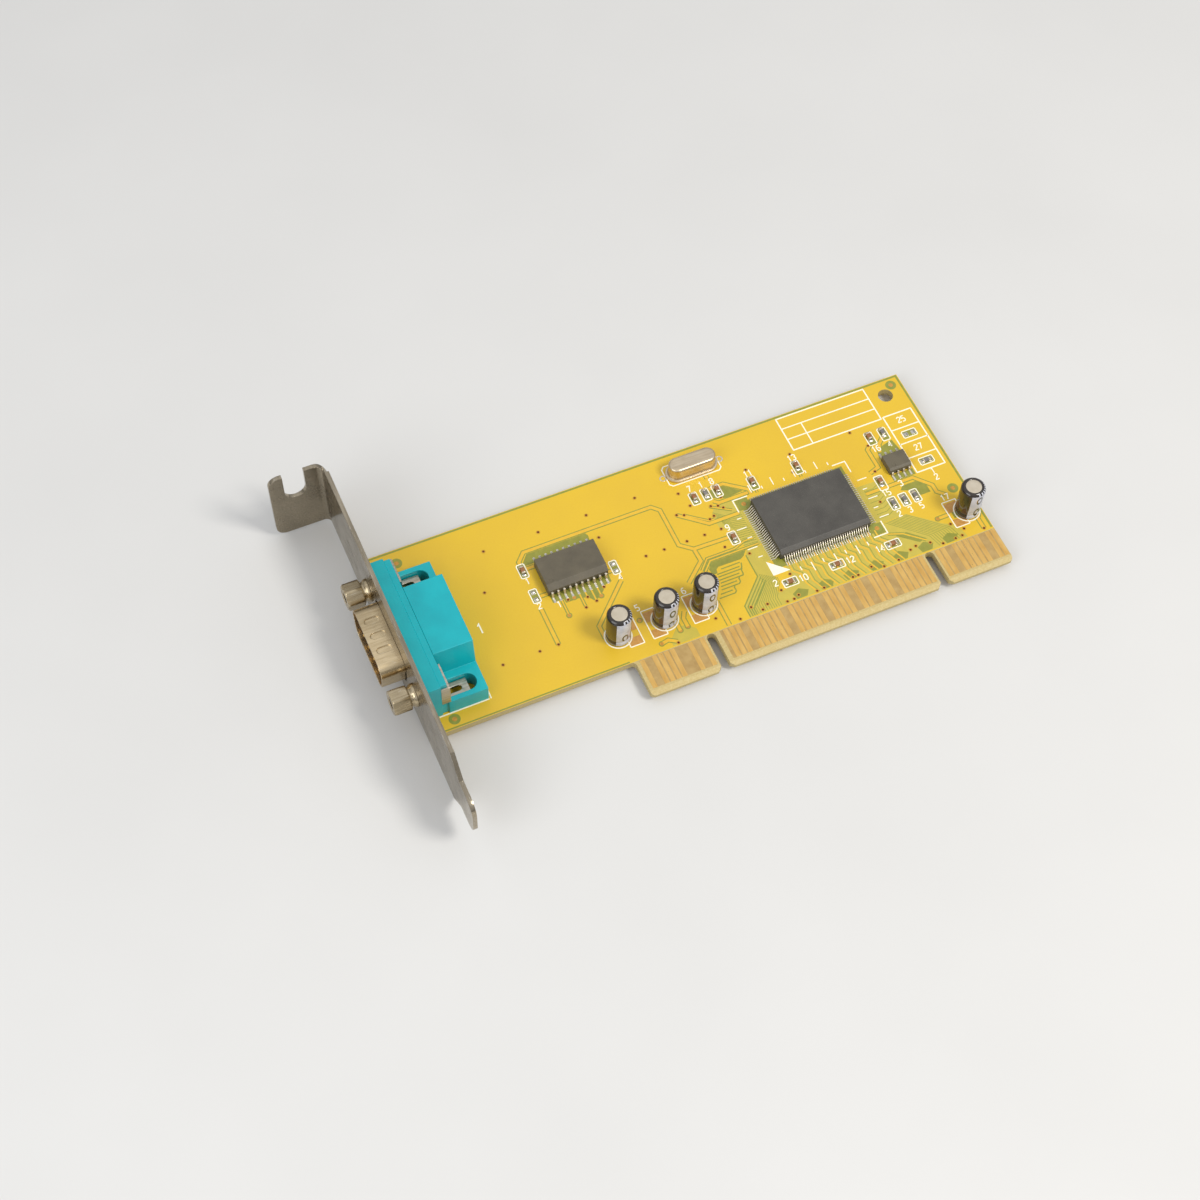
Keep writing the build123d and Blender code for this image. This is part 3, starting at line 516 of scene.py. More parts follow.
def ink_box(low, high, width, cut):
    """Printed box with clipped corners."""
    (x0, y0), (x1, y1) = low, high
    ink_line([(x0 + cut, y0), (x1 - cut, y0), (x1, y0 + cut), (x1, y1 - cut), (x1 - cut, y1),
              (x0 + cut, y1), (x0, y1 - cut), (x0, y0 + cut)], width, True)


EDGE_GREEN = ((LEFT + 0.35, 0.3), (LEFT + 0.35, TOP - 0.35), (RIGHT - 0.35, TOP - 0.35),
              (RIGHT - 0.35, 0.4))
TAB_LINE = ((LEFT + 0.1, 0.3), (-16.9, 0.3))
gap_line(EDGE_GREEN, 0.4)
gap_line(TAB_LINE, 0.28)

OLIVE_AREAS = (
    [(9.0, 0.3), (9.0, 3.1), (14.4, 8.2), (14.4, 13.2), (15.0, 14.6), (20.4, 14.6), (20.4, 10.6),
     (17.6, 10.6), (17.6, 5.0), (16.6, 4.0), (16.6, 0.3)],
    [(16.6, 0.3), (16.6, 3.2), (18.4, 3.4), (20.6, 5.6), (20.6, 9.6), (43.4, 9.6), (48.6, 9.9),
     (54.4, 5.0), (57.0, 3.5), (57.6, 0.3)],
    [(12.4, 21.6), (12.2, 24.8), (13.6, 26.6), (20.4, 26.4), (20.4, 14.6), (15.2, 15.2),
     (14.9, 19.4)],
    [(40.4, 9.7), (40.4, 19.6), (48.0, 19.4), (48.4, 16.2), (48.2, 12.0), (47.8, 9.9)],
    [(-7.6, 0.3), (-7.6, 1.6), (-5.6, 3.6), (-3.4, 3.8), (-1.8, 2.2), (-1.8, 0.3)],
)
for area in OLIVE_AREAS:
    olive.slab(area, LOW, Z_OLIVE)

# Strips under the controller's four lead rows: greener mask, laid partly as painted shade so the
# gaps between the leads read dark
LEAD_ROW_SHADE_STRIPS = (
    (18.7, 8.3, 41.9, 10.4), (18.7, 23.4, 41.9, 25.5), (18.7, 10.4, 20.8, 23.4),
    (39.8, 10.4, 41.9, 23.4),
)
GREEN_AREAS = (
    [(14.3, 30.4), (17.4, 30.4), (18.6, 29.5), (20.6, 27.9), (17.0, 27.6), (15.2, 28.0),
     (14.3, 28.6)],
    [(6.2, 13.4), (7.3, 14.8), (14.6, 14.8), (14.0, 13.7), (13.1, 13.2), (8.2, 13.3), (7.6, 12.9),
     (7.4, 12.0), (6.4, 12.0)],
    [(50.4, 15.4), (51.2, 16.3), (54.2, 16.3), (55.9, 14.6), (55.9, 12.8), (53.7, 12.8),
     (51.9, 14.8)],
    [(-27.4, 28.4), (-27.4, 29.0), (-25.8, 30.9), (-13.0, 30.9), (-12.7, 30.2), (-12.9, 28.4)],
    [(-25.3, 21.0), (-12.6, 21.0), (-12.7, 18.5), (-14.0, 18.3), (-15.2, 17.0), (-16.4, 16.0),
     (-17.6, 15.8), (-18.4, 16.9), (-20.1, 17.4), (-22.9, 17.4), (-23.0, 18.4), (-25.3, 18.4)],
    [(17.9, 23.6), (20.6, 23.6), (20.6, 26.2), (17.9, 26.2)],
    [(40.4, 7.6), (42.9, 7.6), (42.9, 10.2), (40.4, 10.2)],
    [(50.2, 17.9), (55.2, 17.9), (55.2, 19.4), (50.2, 19.4)],
    [(50.0, 23.8), (55.2, 23.8), (54.6, 27.4), (50.6, 26.4)],
    [(57.3, 5.1), (58.6, 5.1), (58.6, 6.7), (57.3, 6.7)],
    [(44.2, 6.0), (46.6, 6.0), (49.6, 3.2), (48.0, 2.8)],
)
for strip in LEAD_ROW_SHADE_STRIPS:
    greens.box(*strip, LOW, Z_GREEN)
for area in GREEN_AREAS:
    greens.slab(area, LOW, Z_GREEN)

TRACES = (
    [(-27.9, 29.1), (-27.9, 29.7), (-26.2, 31.5), (1.7, 31.5), (3.1, 30.1), (3.1, 21.0),
     (5.5, 19.0), (13.0, 18.8)],
    [(5.5, 18.7), (5.6, 15.9), (1.2, 12.1)], [(-28.0, 18.0), (-28.0, 9.3)],
    [(-10.9, 17.9), (-19.1, 10.0), (-19.1, 7.0)], [(4.45, 6.2), (4.45, 0.3)],
    [(-4.9, 5.2), (-4.9, 2.9)], [(-3.2, 3.2), (-3.2, 5.2), (-2.4, 6.6)],
    [(14.0, 27.9), (14.9, 27.1), (21.4, 27.1)],
    [(14.4, 30.9), (17.6, 31.0), (21.9, 27.7), (21.9, 26.6)],
    [(5.7, 27.7), (10.9, 23.3), (17.6, 23.3)],
    [(43.4, 17.3), (54.1, 17.3), (57.0, 14.1), (57.0, 12.3), (58.4, 10.9)],
    [(46.6, 21.6), (48.8, 22.3), (48.8, 27.0), (49.7, 27.9)],
    [(50.9, 25.5), (51.6, 27.3), (53.1, 28.7)], [(54.4, 6.35), (56.6, 6.35)],
    [(-27.0, 20.75), (-25.2, 20.75)], [(-13.0, 20.75), (-11.6, 20.75)],
    [(-27.0, 27.7), (-25.4, 27.7)], [(15.2, 33.4), (15.2, 34.6)],
    [(61.6, 0.7), (61.6, 3.4), (62.4, 4.4)], [(-9.5, 1.6), (-8.0, 1.9), (-6.4, 0.9)],
)
THIN_TRACES = (
    [(-23.5, 18.6), (-23.5, 14.7)], [(-22.3, 18.6), (-22.3, 17.9)],
    [(-21.0, 18.6), (-21.0, 17.9)], [(-19.7, 18.6), (-19.7, 15.1)],
    [(-18.5, 18.6), (-18.5, 17.0)], [(-17.2, 18.6), (-17.2, 15.6)],
    [(-15.9, 18.6), (-15.9, 16.2)], [(-14.6, 18.6), (-14.6, 17.9)],
    [(-13.4, 18.8), (-13.4, 18.4)], [(7.1, 27.1), (11.2, 23.9), (12.4, 23.9)],
    [(12.6, 27.0), (16.6, 24.5)], [(15.8, 28.2), (15.8, 28.8)],
    [(17.6, 16.8), (15.5, 16.8), (13.0, 15.9), (6.9, 15.9), (4.8, 13.7)],
    [(18.0, 15.2), (7.3, 15.2), (5.1, 13.0)], [(23.2, 27.2), (23.2, 26.4)],
    [(33.2, 27.2), (33.2, 26.4)], [(42.9, 7.0), (45.8, 5.9), (49.5, 2.7)],
)
COMB_LINES = (
    [(8.5, 12.6), (12.6, 12.6)], [(7.2, 11.75), (12.1, 11.75)],
    [(7.2, 11.1), (12.2, 11.1), (12.5, 11.5), (12.8, 12.4)], [(7.0, 10.35), (11.4, 10.35)],
    [(7.0, 9.65), (11.9, 9.65), (12.1, 10.05), (12.1, 10.8), (12.4, 11.2)],
    [(6.7, 8.9), (10.2, 8.9)],
    [(6.5, 8.15), (10.4, 8.15), (10.8, 8.55), (10.8, 9.25), (11.1, 9.6)],
    [(5.9, 7.3), (8.5, 7.3)], [(5.3, 6.5), (8.7, 6.5), (9.1, 6.85), (9.1, 7.75), (9.4, 8.1)],
)
for path in TRACES:
    trace(path, RUN)
for path in THIN_TRACES:
    trace(path, THIN_RUN)
for path in COMB_LINES:
    gap_line(path, COMB_LINE)


# Bundles of fine runs round the controller

gap_line([(14.4, 13.6), (14.4, 8.2), (9.05, 3.0), (9.05, 0.3)], COMB_LINE)
gap_line([(14.0, 13.9), (14.9, 14.9), (17.6, 14.9)], 0.2)
for i in range(3):
    x = 9.6 + 0.45 * i
    gap_line([(14.9 + 0.35 * i, 7.8 - 0.45 * i), (x, 2.6 - 0.4 * i), (x, 0.3)], 0.22)
for i in range(11):
    x0, x1 = 14.9 + 0.3 * i, 10.9 + 0.5 * i
    gap_line([(x0, 8.6 - 0.2 * i), (x0, 6.4 - 0.1 * i), (x1, 2.4), (x1, 0.4)], FINE_LINE)
for i in range(9):
    gap_line([(12.6 + 0.12 * i, 25.4 - 0.42 * i), (15.2, 23.4 - 0.42 * i),
              (17.9, 23.2 - 0.5 * i)], FINE_LINE)
    gap_line([(15.0, 19.4 - 0.5 * i), (18.2, 19.2 - 0.5 * i)], FINE_LINE)
for i in range(10):
    x = 43.6 + 0.55 * i
    gap_line([(x, 9.7), (x + 6.9, 3.4 + 0.02 * i), (x + 7.8, 0.5)], FINE_LINE)
for i in range(14):
    x = 21.4 + 1.5 * i
    traces.ribbon([(x, 8.9), (x, 6.6), (x + 1.2, 5.4), (x + 1.2, 3.2), (x + 2.4, 0.4)],
                  THIN_RUN, LOW, Z_TRACE)
    gap_line([(x + 0.45, 8.9), (x + 0.45, 6.8), (x + 1.65, 5.6), (x + 1.65, 3.0),
              (x + 2.85, 0.4)], 0.14)
for i in range(8):
    y = 11.0 + 1.0 * i
    gap_line([(43.2, y), (45.4, y), (46.6, y + 0.6)], FINE_LINE)
for i in range(7):
    x = 19.4 + 5.6 * i
    greens.slab([(x, 0.4), (x + 2.2, 0.4), (x + 3.0, 1.6), (x + 1.2, 2.6), (x - 0.4, 1.8)],
                LOW, Z_GREEN)


# Plated holes, open and under the mask, and bare round targets

VIAS = (
    (-21.6, 34.8), (-11.1, 34.8), (-10.9, 28.9), (-36.8, 25.8), (-39.6, 9.3), (-31.9, 9.3),
    (-28.0, 9.3), (-22.3, 17.9), (-14.6, 17.9), (-18.5, 17.0), (-17.2, 15.5), (-19.7, 14.9),
    (-33.4, 34.8), (-0.4, 34.8), (8.2, 32.3), (9.2, 28.7), (5.7, 27.7), (7.1, 27.1), (13.0, 27.0),
    (14.4, 26.5), (15.2, 25.7), (15.8, 28.2), (12.6, 24.6), (11.5, 24.2), (-4.0, 21.2),
    (0.0, 21.2), (5.0, 21.2), (8.9, 21.2), (12.6, 21.2), (11.4, 17.0), (15.3, 13.7), (10.1, 2.3),
    (2.6, 2.7), (7.0, 0.7), (-6.4, 0.6), (12.0, 0.9), (13.4, 1.7), (17.3, 3.5), (17.3, 0.7),
    (18.8, 0.7), (20.0, 1.2), (23.8, 0.6), (25.4, 0.7), (20.6, 6.2), (23.4, 32.3), (33.5, 32.3),
    (32.1, 28.0), (47.4, 32.3), (45.2, 14.5), (47.7, 21.6), (49.4, 27.9), (36.3, 1.4),
    (31.8, 0.7), (33.0, 0.7), (38.7, 0.5), (42.1, 0.7), (45.4, 1.9), (46.8, 2.3), (49.9, 1.9),
    (52.2, 0.7), (55.1, 0.8), (56.7, 0.9), (57.8, 2.2), (61.6, 0.7), (55.8, 4.2),
)
TENTED = (
    (-23.5, 14.5), (-15.9, 16.2), (-21.0, 17.9), (-9.5, 1.6), (-4.9, 2.9), (-3.2, 3.2),
    (-11.3, 8.1), (54.0, 6.3), (58.6, 4.2),
)
TARGETS = ((-50.3, 38.9), (-52.5, 2.0), (61.1, 40.0), (60.5, 11.8))
SMALL_TARGETS = ((19.4, 24.9), (41.6, 9.1))
# Each open via ends in a dark middle dot: its copper barrel, darkened as painted shade inside the
# hole
for x, y in VIAS:
    for face, sign in ((0, 1), (UNDER, -1)):
        rims.disc(x, y, VIA_RIM, face + sign * LOW, face + sign * Z_RIM, 16)
        holes.disc(x, y, VIA_HOLE, face + sign * LOW, face + sign * Z_HOLE, 14)
        halos.disc(x, y, VIA_RIM, face + sign * LOW, face + sign * Z_HALO, 16)
for x, y in TENTED:
    gaps.ring(x, y, VIA_RIM, 0.62, LOW, Z_GAP, 16)
    rims.disc(x, y, VIA_RIM, LOW, Z_TENTED, 16)
for x, y in TARGETS:
    gaps.ring(x, y, 0.5, 1.15, LOW, Z_GAP)
    rims.disc(x, y, 0.48, LOW, Z_TARGET, 20)
for x, y in SMALL_TARGETS:
    gaps.disc(x, y, 0.95, LOW, Z_GAP, 24)
    rims.disc(x, y, 0.5, LOW, Z_TARGET, 20)


# Printed boxes, lines and plain digits

PART_BOXES = (
    ((-28.8, 25.8), (-27.2, 29.1)), ((-28.8, 19.6), (-27.2, 22.8)),
    ((-11.6, 19.6), (-10.1, 22.8)), ((9.9, 28.4), (11.6, 31.4)), ((12.5, 28.4), (14.1, 31.4)),
    ((15.0, 28.4), (16.6, 31.4)), ((22.5, 27.1), (24.2, 30.4)), ((13.1, 16.7), (14.8, 19.8)),
    ((18.3, 3.6), (21.4, 5.4)), ((32.6, 27.1), (34.2, 30.4)), ((28.7, 3.6), (31.8, 5.4)),
    ((41.2, 3.6), (44.4, 5.4)), ((49.8, 27.7), (51.5, 30.9)), ((52.9, 27.7), (54.6, 30.9)),
    ((46.6, 16.8), (48.4, 20.4)), ((46.7, 11.6), (48.4, 14.7)), ((49.2, 11.6), (50.9, 14.7)),
    ((51.8, 11.6), (53.4, 14.7)), ((57.3, 26.6), (60.4, 28.3)), ((57.3, 19.2), (60.4, 20.9)),
)
PAD_BOXES = (
    ((-15.3, 3.2), (-12.4, 9.3)), ((-10.4, 3.2), (-7.4, 9.8)), ((-1.6, 3.2), (1.5, 9.8)),
    ((56.5, 2.9), (59.6, 9.3)),
)
for low, high in PART_BOXES:
    ink_box(low, high, MARK_LINE, 0.2)
    greens.box(*low, *high, LOW, Z_GREEN)
for low, high in PAD_BOXES:
    ink_box(low, high, MARK_LINE, 0.1)
    for y0, y1 in ((low[1] + 0.15, low[1] + 1.95), (high[1] - 2.7, high[1] - 0.4)):
        copper.box(low[0] + 0.2, y0, high[0] - 0.2, y1, LOW, Z_COPPER)
ink_box((7.5, 34.4), (19.1, 39.5), 0.24, 0.6)
ink_box((34.7, 32.9), (55.1, 41.3), TABLE_LINE, 0.05)
ink_box((55.6, 18.0), (62.1, 33.1), TABLE_LINE, 0.05)
for x, y in CAN_PLACES:
    ink.ring(x, y, *CAN_RING, LOW, Z_INK, 56)
INK_LINES = (
    [(34.7, 38.6), (55.1, 38.6)], [(34.7, 35.8), (55.1, 35.8)], [(39.2, 38.6), (39.2, 32.9)],
    [(55.6, 29.3), (62.1, 29.3)], [(55.6, 25.5), (62.1, 25.5)], [(55.6, 21.8), (62.1, 21.8)],
    [(-55.0, 3.46), (-44.8, 3.46)], [(-44.4, 3.46), (-44.4, 34.6)],
    [(-55.0, 34.6), (-44.4, 34.6)], [(17.6, 23.4), (17.6, 26.4), (20.9, 26.4)],
    [(40.2, 26.3), (43.1, 26.3), (43.1, 23.4)], [(43.1, 10.4), (43.1, 7.3), (40.0, 7.3)],
)
for path in INK_LINES:
    ink_line(path, INK_LINE)
ink.slab([(17.4, 10.6), (17.4, 7.1), (21.1, 7.1)], LOW, Z_INK)

# Pin-count ticks beside the controller: a place, then where the tick starts and ends
TICKS_UP = (
    (23.2, 6.1, 7.0), (25.7, 5.0, 7.1), (28.2, 6.1, 7.0), (30.8, 5.0, 7.1), (33.2, 6.1, 7.0),
    (35.7, 5.0, 7.1), (38.2, 6.1, 7.0), (22.1, 26.8, 28.7), (24.6, 26.8, 27.5),
    (27.1, 26.8, 28.7), (29.6, 26.8, 27.5), (32.1, 26.8, 28.7), (34.5, 26.8, 27.5),
    (37.1, 26.8, 28.7), (39.6, 26.8, 27.5),
)
TICKS_ACROSS = (
    (22.0, 16.5, 17.5), (19.6, 15.3, 17.5), (17.1, 16.5, 17.5), (14.6, 15.3, 17.5),
    (12.2, 16.5, 17.5), (21.0, 43.3, 45.4), (18.6, 43.3, 44.3), (16.1, 43.3, 45.4),
    (13.7, 43.3, 44.3), (11.2, 43.3, 45.4),
)
for x, y0, y1 in TICKS_UP:
    ink_line([(x, y0), (x, y1)], MARK_LINE)
for y, x0, x1 in TICKS_ACROSS:
    ink_line([(x0, y), (x1, y)], MARK_LINE)

# Each digit is one stroke in a cell 1 wide and 2 high
DIGITS = {
    "0": [(0.3, 0), (0.7, 0), (1, 0.4), (1, 1.6), (0.7, 2), (0.3, 2), (0, 1.6), (0, 0.4),
          (0.3, 0)],
    "1": [(0.2, 1.6), (0.55, 2), (0.55, 0)],
    "2": [(0, 1.6), (0.3, 2), (0.7, 2), (1, 1.7), (1, 1.3), (0, 0.2), (0, 0), (1, 0)],
    "3": [(0, 1.75), (0.3, 2), (0.7, 2), (1, 1.7), (1, 1.35), (0.7, 1.05), (1, 0.75), (1, 0.35),
          (0.7, 0), (0.3, 0), (0, 0.25)],
    "4": [(0.75, 0), (0.75, 2), (0, 0.6), (1, 0.6)],
    "5": [(0.95, 2), (0.05, 2), (0.05, 1.15), (0.7, 1.15), (1, 0.85), (1, 0.35), (0.7, 0),
          (0, 0.05)],
    "6": [(0.9, 2), (0.3, 1.9), (0, 1.4), (0, 0.35), (0.3, 0), (0.7, 0), (1, 0.35), (1, 0.8),
          (0.7, 1.1), (0.1, 1.1)],
    "7": [(0, 2), (1, 2), (0.35, 0)],
    "8": [(0.3, 1.05), (0, 1.35), (0, 1.7), (0.3, 2), (0.7, 2), (1, 1.7), (1, 1.35), (0.7, 1.05),
          (1, 0.75), (1, 0.3), (0.7, 0), (0.3, 0), (0, 0.3), (0, 0.75), (0.3, 1.05)],
    "9": [(0.1, 0), (0.7, 0.1), (1, 0.6), (1, 1.65), (0.7, 2), (0.3, 2), (0, 1.65), (0, 1.2),
          (0.3, 0.9), (0.9, 0.9)],
}
DIGIT_STEP, DIGIT_GAP = 1.45, 0.45


def number(text, x, y, height=1.35, weight=MARK_LINE):
    """Plain printed digits, centred on a place."""
    size = height / 2
    left = x - (len(text) * DIGIT_STEP - DIGIT_GAP) * size / 2
    for digit in text:
        ink_line([(left + px * size, y + (py - 1) * size) for px, py in DIGITS[digit]], weight)
        left += DIGIT_STEP * size


NUMBERS = (
    ("1", -28.0, 24.9), ("2", -28.0, 18.8), ("4", -10.7, 18.8), ("7", 10.7, 32.5),
    ("1", 13.3, 32.5), ("8", 15.7, 32.5), ("11", 23.4, 31.3), ("9", 13.9, 21.0),
    ("10", 22.7, 4.4), ("13", 33.4, 31.3), ("12", 33.2, 4.5), ("14", 39.9, 4.5),
    ("16", 50.6, 26.6), ("4", 53.8, 26.6), ("15", 47.4, 16.0), ("2", 47.5, 10.5),
    ("3", 50.0, 10.5), ("5", 52.6, 10.5), ("25", 58.9, 31.3), ("27", 58.9, 23.7),
    ("2", 17.0, 5.4), ("3", 51.2, 17.0), ("1", -24.3, 17.6), ("1", 58.8, 17.2), ("2", 58.8, 15.6),
    ("5", -10.6, 10.9), ("6", -0.6, 10.9), ("17", 57.9, 10.4),
)
for text, x, y in NUMBERS:
    number(text, x, y)
number("1", -40.6, 18.5, 2.2, 0.32)


# Solder side of the board: edge gap and copper runs

LOW_U, GAP_U, TRACE_U = UNDER + 0.01, UNDER - 0.01, UNDER - 0.02
TAB_LOW, TAB_HIGH, TAB_SHADE = -6.7, -0.15, 0.012
gaps.ribbon(EDGE_GREEN, 0.4, LOW_U, GAP_U)
gaps.ribbon(TAB_LINE, 0.28, LOW_U, GAP_U)


def under_run(path, gap, width):
    """Copper run and its gap on the solder side."""
    gaps.ribbon(path, gap, LOW_U, GAP_U)
    traces.ribbon(path, width, LOW_U, TRACE_U)


UNDER_RUNS = (
    [(-39.6, 9.3), (-36.0, 5.7), (-19.2, 5.7), (-17.9, 6.3)],
    [(-31.9, 9.3), (-30.0, 7.4), (-22.0, 7.4)],
    [(-36.8, 25.8), (-33.0, 29.6), (-22.0, 29.6), (-14.6, 22.2), (-14.6, 17.9)],
    [(-21.6, 34.8), (-14.0, 27.2), (-4.0, 21.2)], [(-11.1, 34.8), (-0.4, 34.8), (8.2, 32.3)],
    [(-33.4, 34.8), (-24.0, 36.6), (6.0, 36.6)], [(0.0, 21.2), (4.0, 17.2), (11.4, 17.0)],
    [(5.0, 21.2), (9.0, 25.2), (14.4, 26.5)],
    [(12.6, 21.2), (16.0, 17.8), (28.0, 17.8), (45.2, 14.5)],
    [(12.6, 24.6), (26.0, 24.6), (32.1, 28.0)], [(15.3, 13.7), (20.6, 8.4), (20.6, 6.2)],
    [(23.4, 32.3), (30.0, 32.3), (33.5, 32.3)], [(47.4, 32.3), (49.4, 27.9)],
    [(47.7, 21.6), (47.7, 8.0), (46.8, 2.3)],
    [(-45.0, 24.0), (-41.0, 20.0), (-28.0, 20.0), (-24.0, 24.0)],
    [(-45.0, 15.0), (-40.0, 13.0), (-24.0, 13.0), (-18.5, 17.0)],
)
for path in UNDER_RUNS:
    under_run(path, 1.0, 0.42)
for i in range(20):
    x = -6.0 + 3.2 * i
    if abs(x) > 2.0 and abs(x - NOTCH_STEP) > 3.2:
        under_run([(x, 0.2), (x, 2.6), (x + 1.4, 4.0)], 0.95, 0.4)

# Laminate between the contacts, on both faces of the three parts of the tab
for x0, x1 in ((-14.9, -1.9), (2.0, 46.3), (50.2, 62.8)):
    copper_shade.box(x0, TAB_LOW, x1, TAB_HIGH, LOW, TAB_SHADE)
    copper_shade.box(x0, TAB_LOW, x1, TAB_HIGH, LOW_U, UNDER - TAB_SHADE)
for layer, paint in ((copper_shade, SHADE), (olive, OLIVE), (greens, GREEN), (copper, COPPER),
                     (gaps, GAP), (traces, TRACE), (ink, INK), (rims, BARREL_RIM), (holes, VIA),
                     (halos, HALO)):
    layer.done(paint, "board")


# Pads and solder

pads = Layer("bare_pads")
joints = Layer("surface_solder")
PAD_TOP = 0.045
PAD_TO_LEAD = 1.15
CAP_PAD_START, CAP_PAD_END, CAP_PAD_HALF = 0.45, 1.3, 0.48
CAP_END, CAP_TO_SOLDER = 0.78, 0.72
EMPTY_PAD_STEP, EMPTY_PAD_HALF = 0.85, 0.5


def pad(x, y, way, start, end, half):
    """Pad that starts and ends at two distances from a place, along a way."""
    dx, dy = way
    xs = sorted((x + dx * start, x + dx * end)) if dx else (x - half, x + half)
    ys = sorted((y + dy * start, y + dy * end)) if dy else (y - half, y + half)
    pads.box(xs[0], ys[0], xs[1], ys[1], LOW, PAD_TOP)


CHIPS = (
    dict(x=30.34, y=16.9, span=(23.2, 17.2), pitch=0.5, count=(38, 26), lead=0.2, foot=0.8,
         toe=0.22),
    dict(x=-19.1, y=23.9, span=(0.0, 10.4), pitch=1.27, count=(10, 0), lead=0.42, foot=0.8,
         toe=0.5),
    dict(x=52.5, y=21.6, span=(0.0, 6.1), pitch=1.27, count=(4, 0), lead=0.42, foot=0.75,
         toe=0.5),
)
for chip in CHIPS:
    wide = chip["lead"] * PAD_TO_LEAD
    for along, count in enumerate(chip["count"]):
        half = chip["span"][1 - along] / 2
        start, end = half - chip["foot"] - 0.3, half + chip["toe"]
        for i in range(count):
            at = (i - (count - 1) / 2) * chip["pitch"]
            for s in BOTH_WAYS:
                if along == 0:
                    x, y = chip["x"] + at, chip["y"]
                    pad(x, y, (0, s), start, end, wide / 2)
                    if chip["pitch"] > 1:
                        joints.lump(x, y + s * (half - 0.02), (0, s), 0.4, wide, 0.1, PAD_TOP)
                else:
                    pad(chip["x"], chip["y"] + at, (s, 0), start, end, wide / 2)

# Chip capacitors and resistors: place, whether it lies along x, and height
CHIP_PARTS = (
    (-28.0, 27.5, False, 0.75), (10.75, 30.2, False, 0.75), (15.85, 30.2, False, 0.75),
    (13.95, 18.4, False, 0.75), (19.75, 4.5, True, 0.75), (23.3, 29.2, False, 0.75),
    (30.15, 4.5, True, 0.75), (33.4, 29.2, False, 0.75), (42.75, 4.5, True, 0.75),
    (47.5, 19.0, False, 0.75), (50.55, 29.8, False, 0.75), (13.3, 30.2, False, 0.5),
    (47.5, 13.2, False, 0.5), (50.0, 13.2, False, 0.5), (53.7, 29.8, False, 0.5),
    (52.5, 13.2, False, 0.5), (58.8, 20.0, True, 0.5),
)
EMPTY_PLACES = ((-28.0, 21.2, False), (-10.85, 21.2, False), (58.85, 27.45, True))
for x, y, along_x, tall in CHIP_PARTS:
    for s in BOTH_WAYS:
        dx, dy = way = (s, 0) if along_x else (0, s)
        pad(x, y, way, CAP_PAD_START, CAP_PAD_END, CAP_PAD_HALF)
        joints.lump(x + dx * CAP_END, y + dy * CAP_END, way, 0.48, 0.86, tall * CAP_TO_SOLDER,
                    0.03)
for x, y, along_x in EMPTY_PLACES:
    for s in BOTH_WAYS:
        dx, dy = (s, 0) if along_x else (0, s)
        cx, cy = x + dx * EMPTY_PAD_STEP, y + dy * EMPTY_PAD_STEP
        pads.box(cx - EMPTY_PAD_HALF, cy - CAP_PAD_HALF, cx + EMPTY_PAD_HALF,
                 cy + CAP_PAD_HALF, LOW, PAD_TOP)
        joints.lump(cx, cy, (dx, dy), 0.45, 0.9, 0.2, 0.04)
        joints.lump(cx, cy, (-dx, -dy), 0.45, 0.9, 0.2, 0.04)
for x in (6.9, 19.6):
    pads.ring(x, CRYSTAL_Y, 0.45, 0.75, LOW, PAD_TOP)
pads.done(TINNED, "solder", bevel=0.02)
joints.done(SOLDER, "solder", smooth=True)


# Solder joints under the board, rounder than the source's

under = Layer("under_board_solder")
PIN_STEP = 2.77
LOCK_X = -48.09
TAILS = [(-47.0, PORT_Y + (i - 2) * PIN_STEP) for i in range(5)]
TAILS += [(-49.54, PORT_Y + (i - 1.5) * PIN_STEP) for i in range(4)]


def cone(x, y, half):
    """Concave solder cone round a tail, open where the tail passes."""
    steps = [(half, UNDER + 0.02), (half + 0.62, UNDER + 0.02), (half + 0.62, UNDER - 0.03),
             (half + 0.42, UNDER - 0.16), (half + 0.24, UNDER - 0.38), (half + 0.14, UNDER - 0.62),
             (half + 0.06, UNDER - 0.8), (half * 0.8, UNDER - 0.84)]
    under.lathe(x, y, steps, 28, True)


for x, y in TAILS:
    cone(x, y, half=0.4)
for y in (PORT_Y - PORT_HALF_SPACING, PORT_Y + PORT_HALF_SPACING):
    for s in BOTH_WAYS:
        cone(LOCK_X, y + s * 1.2, half=0.5)
for x, y in CAN_PLACES:
    for s in BOTH_WAYS:
        cone(x, y + s * 1.0, half=0.25)
for s in BOTH_WAYS:
    cone(CRYSTAL_X + s * 2.44, CRYSTAL_Y, half=0.22)
under.done(SOLDER, "solder", ["solder_joints"], True)


# Electrolytic capacitors: sleeve and top as (radius, z) steps

SLEEVE_PROFILE = [
    (2.3, 0.3), (2.44, 0.36), (2.5, 0.5), (2.5, 1.15), (2.46, 1.32), (2.38, 1.46), (2.36, 1.58),
    (2.38, 1.7), (2.46, 1.84), (2.5, 2.0), (2.5, 7.7), (2.48, 7.88), (2.4, 8.08), (2.24, 8.28),
    (2.04, 8.42), (1.86, 8.5), (1.7, 8.48), (1.62, 8.4), (1.6, 7.9), (2.2, 7.6), (2.2, 0.3),
]
CAN_PROFILE = [
    (2.15, 0.9), (2.15, 7.6), (1.9, 7.8), (1.66, 8.3), (1.6, 8.38), (1.45, 8.42), (0.9, 8.4),
    (0.03, 8.39),
]
SIDE = SLEEVE_PROFILE[2:16]
SHOULDER = 7
PRINT_SINK, PRINT_LIFT, MARK_LIFT = -0.01, 0.012, 0.024
PRINT_COLUMN = 7
STRIPE_ANGLES = (-124, -48)
BARS = ((-92, -84), (-74, -66), (-58, -51), (-43, -37), (-29, -24), (-16, -12), (-4, 0))
MARK_ANGLE, MARK_HALF_ANGLE, MARK_HALF_HEIGHT, MARK_HOLE, MARK_SIDES = -82, 16, 1.25, 0.58, 20
LOWEST_MARK = 0.55
RING_MARKS = ((2.9,), (5.4, 1.5), (5.8, 1.6), (6.4, 2.4))


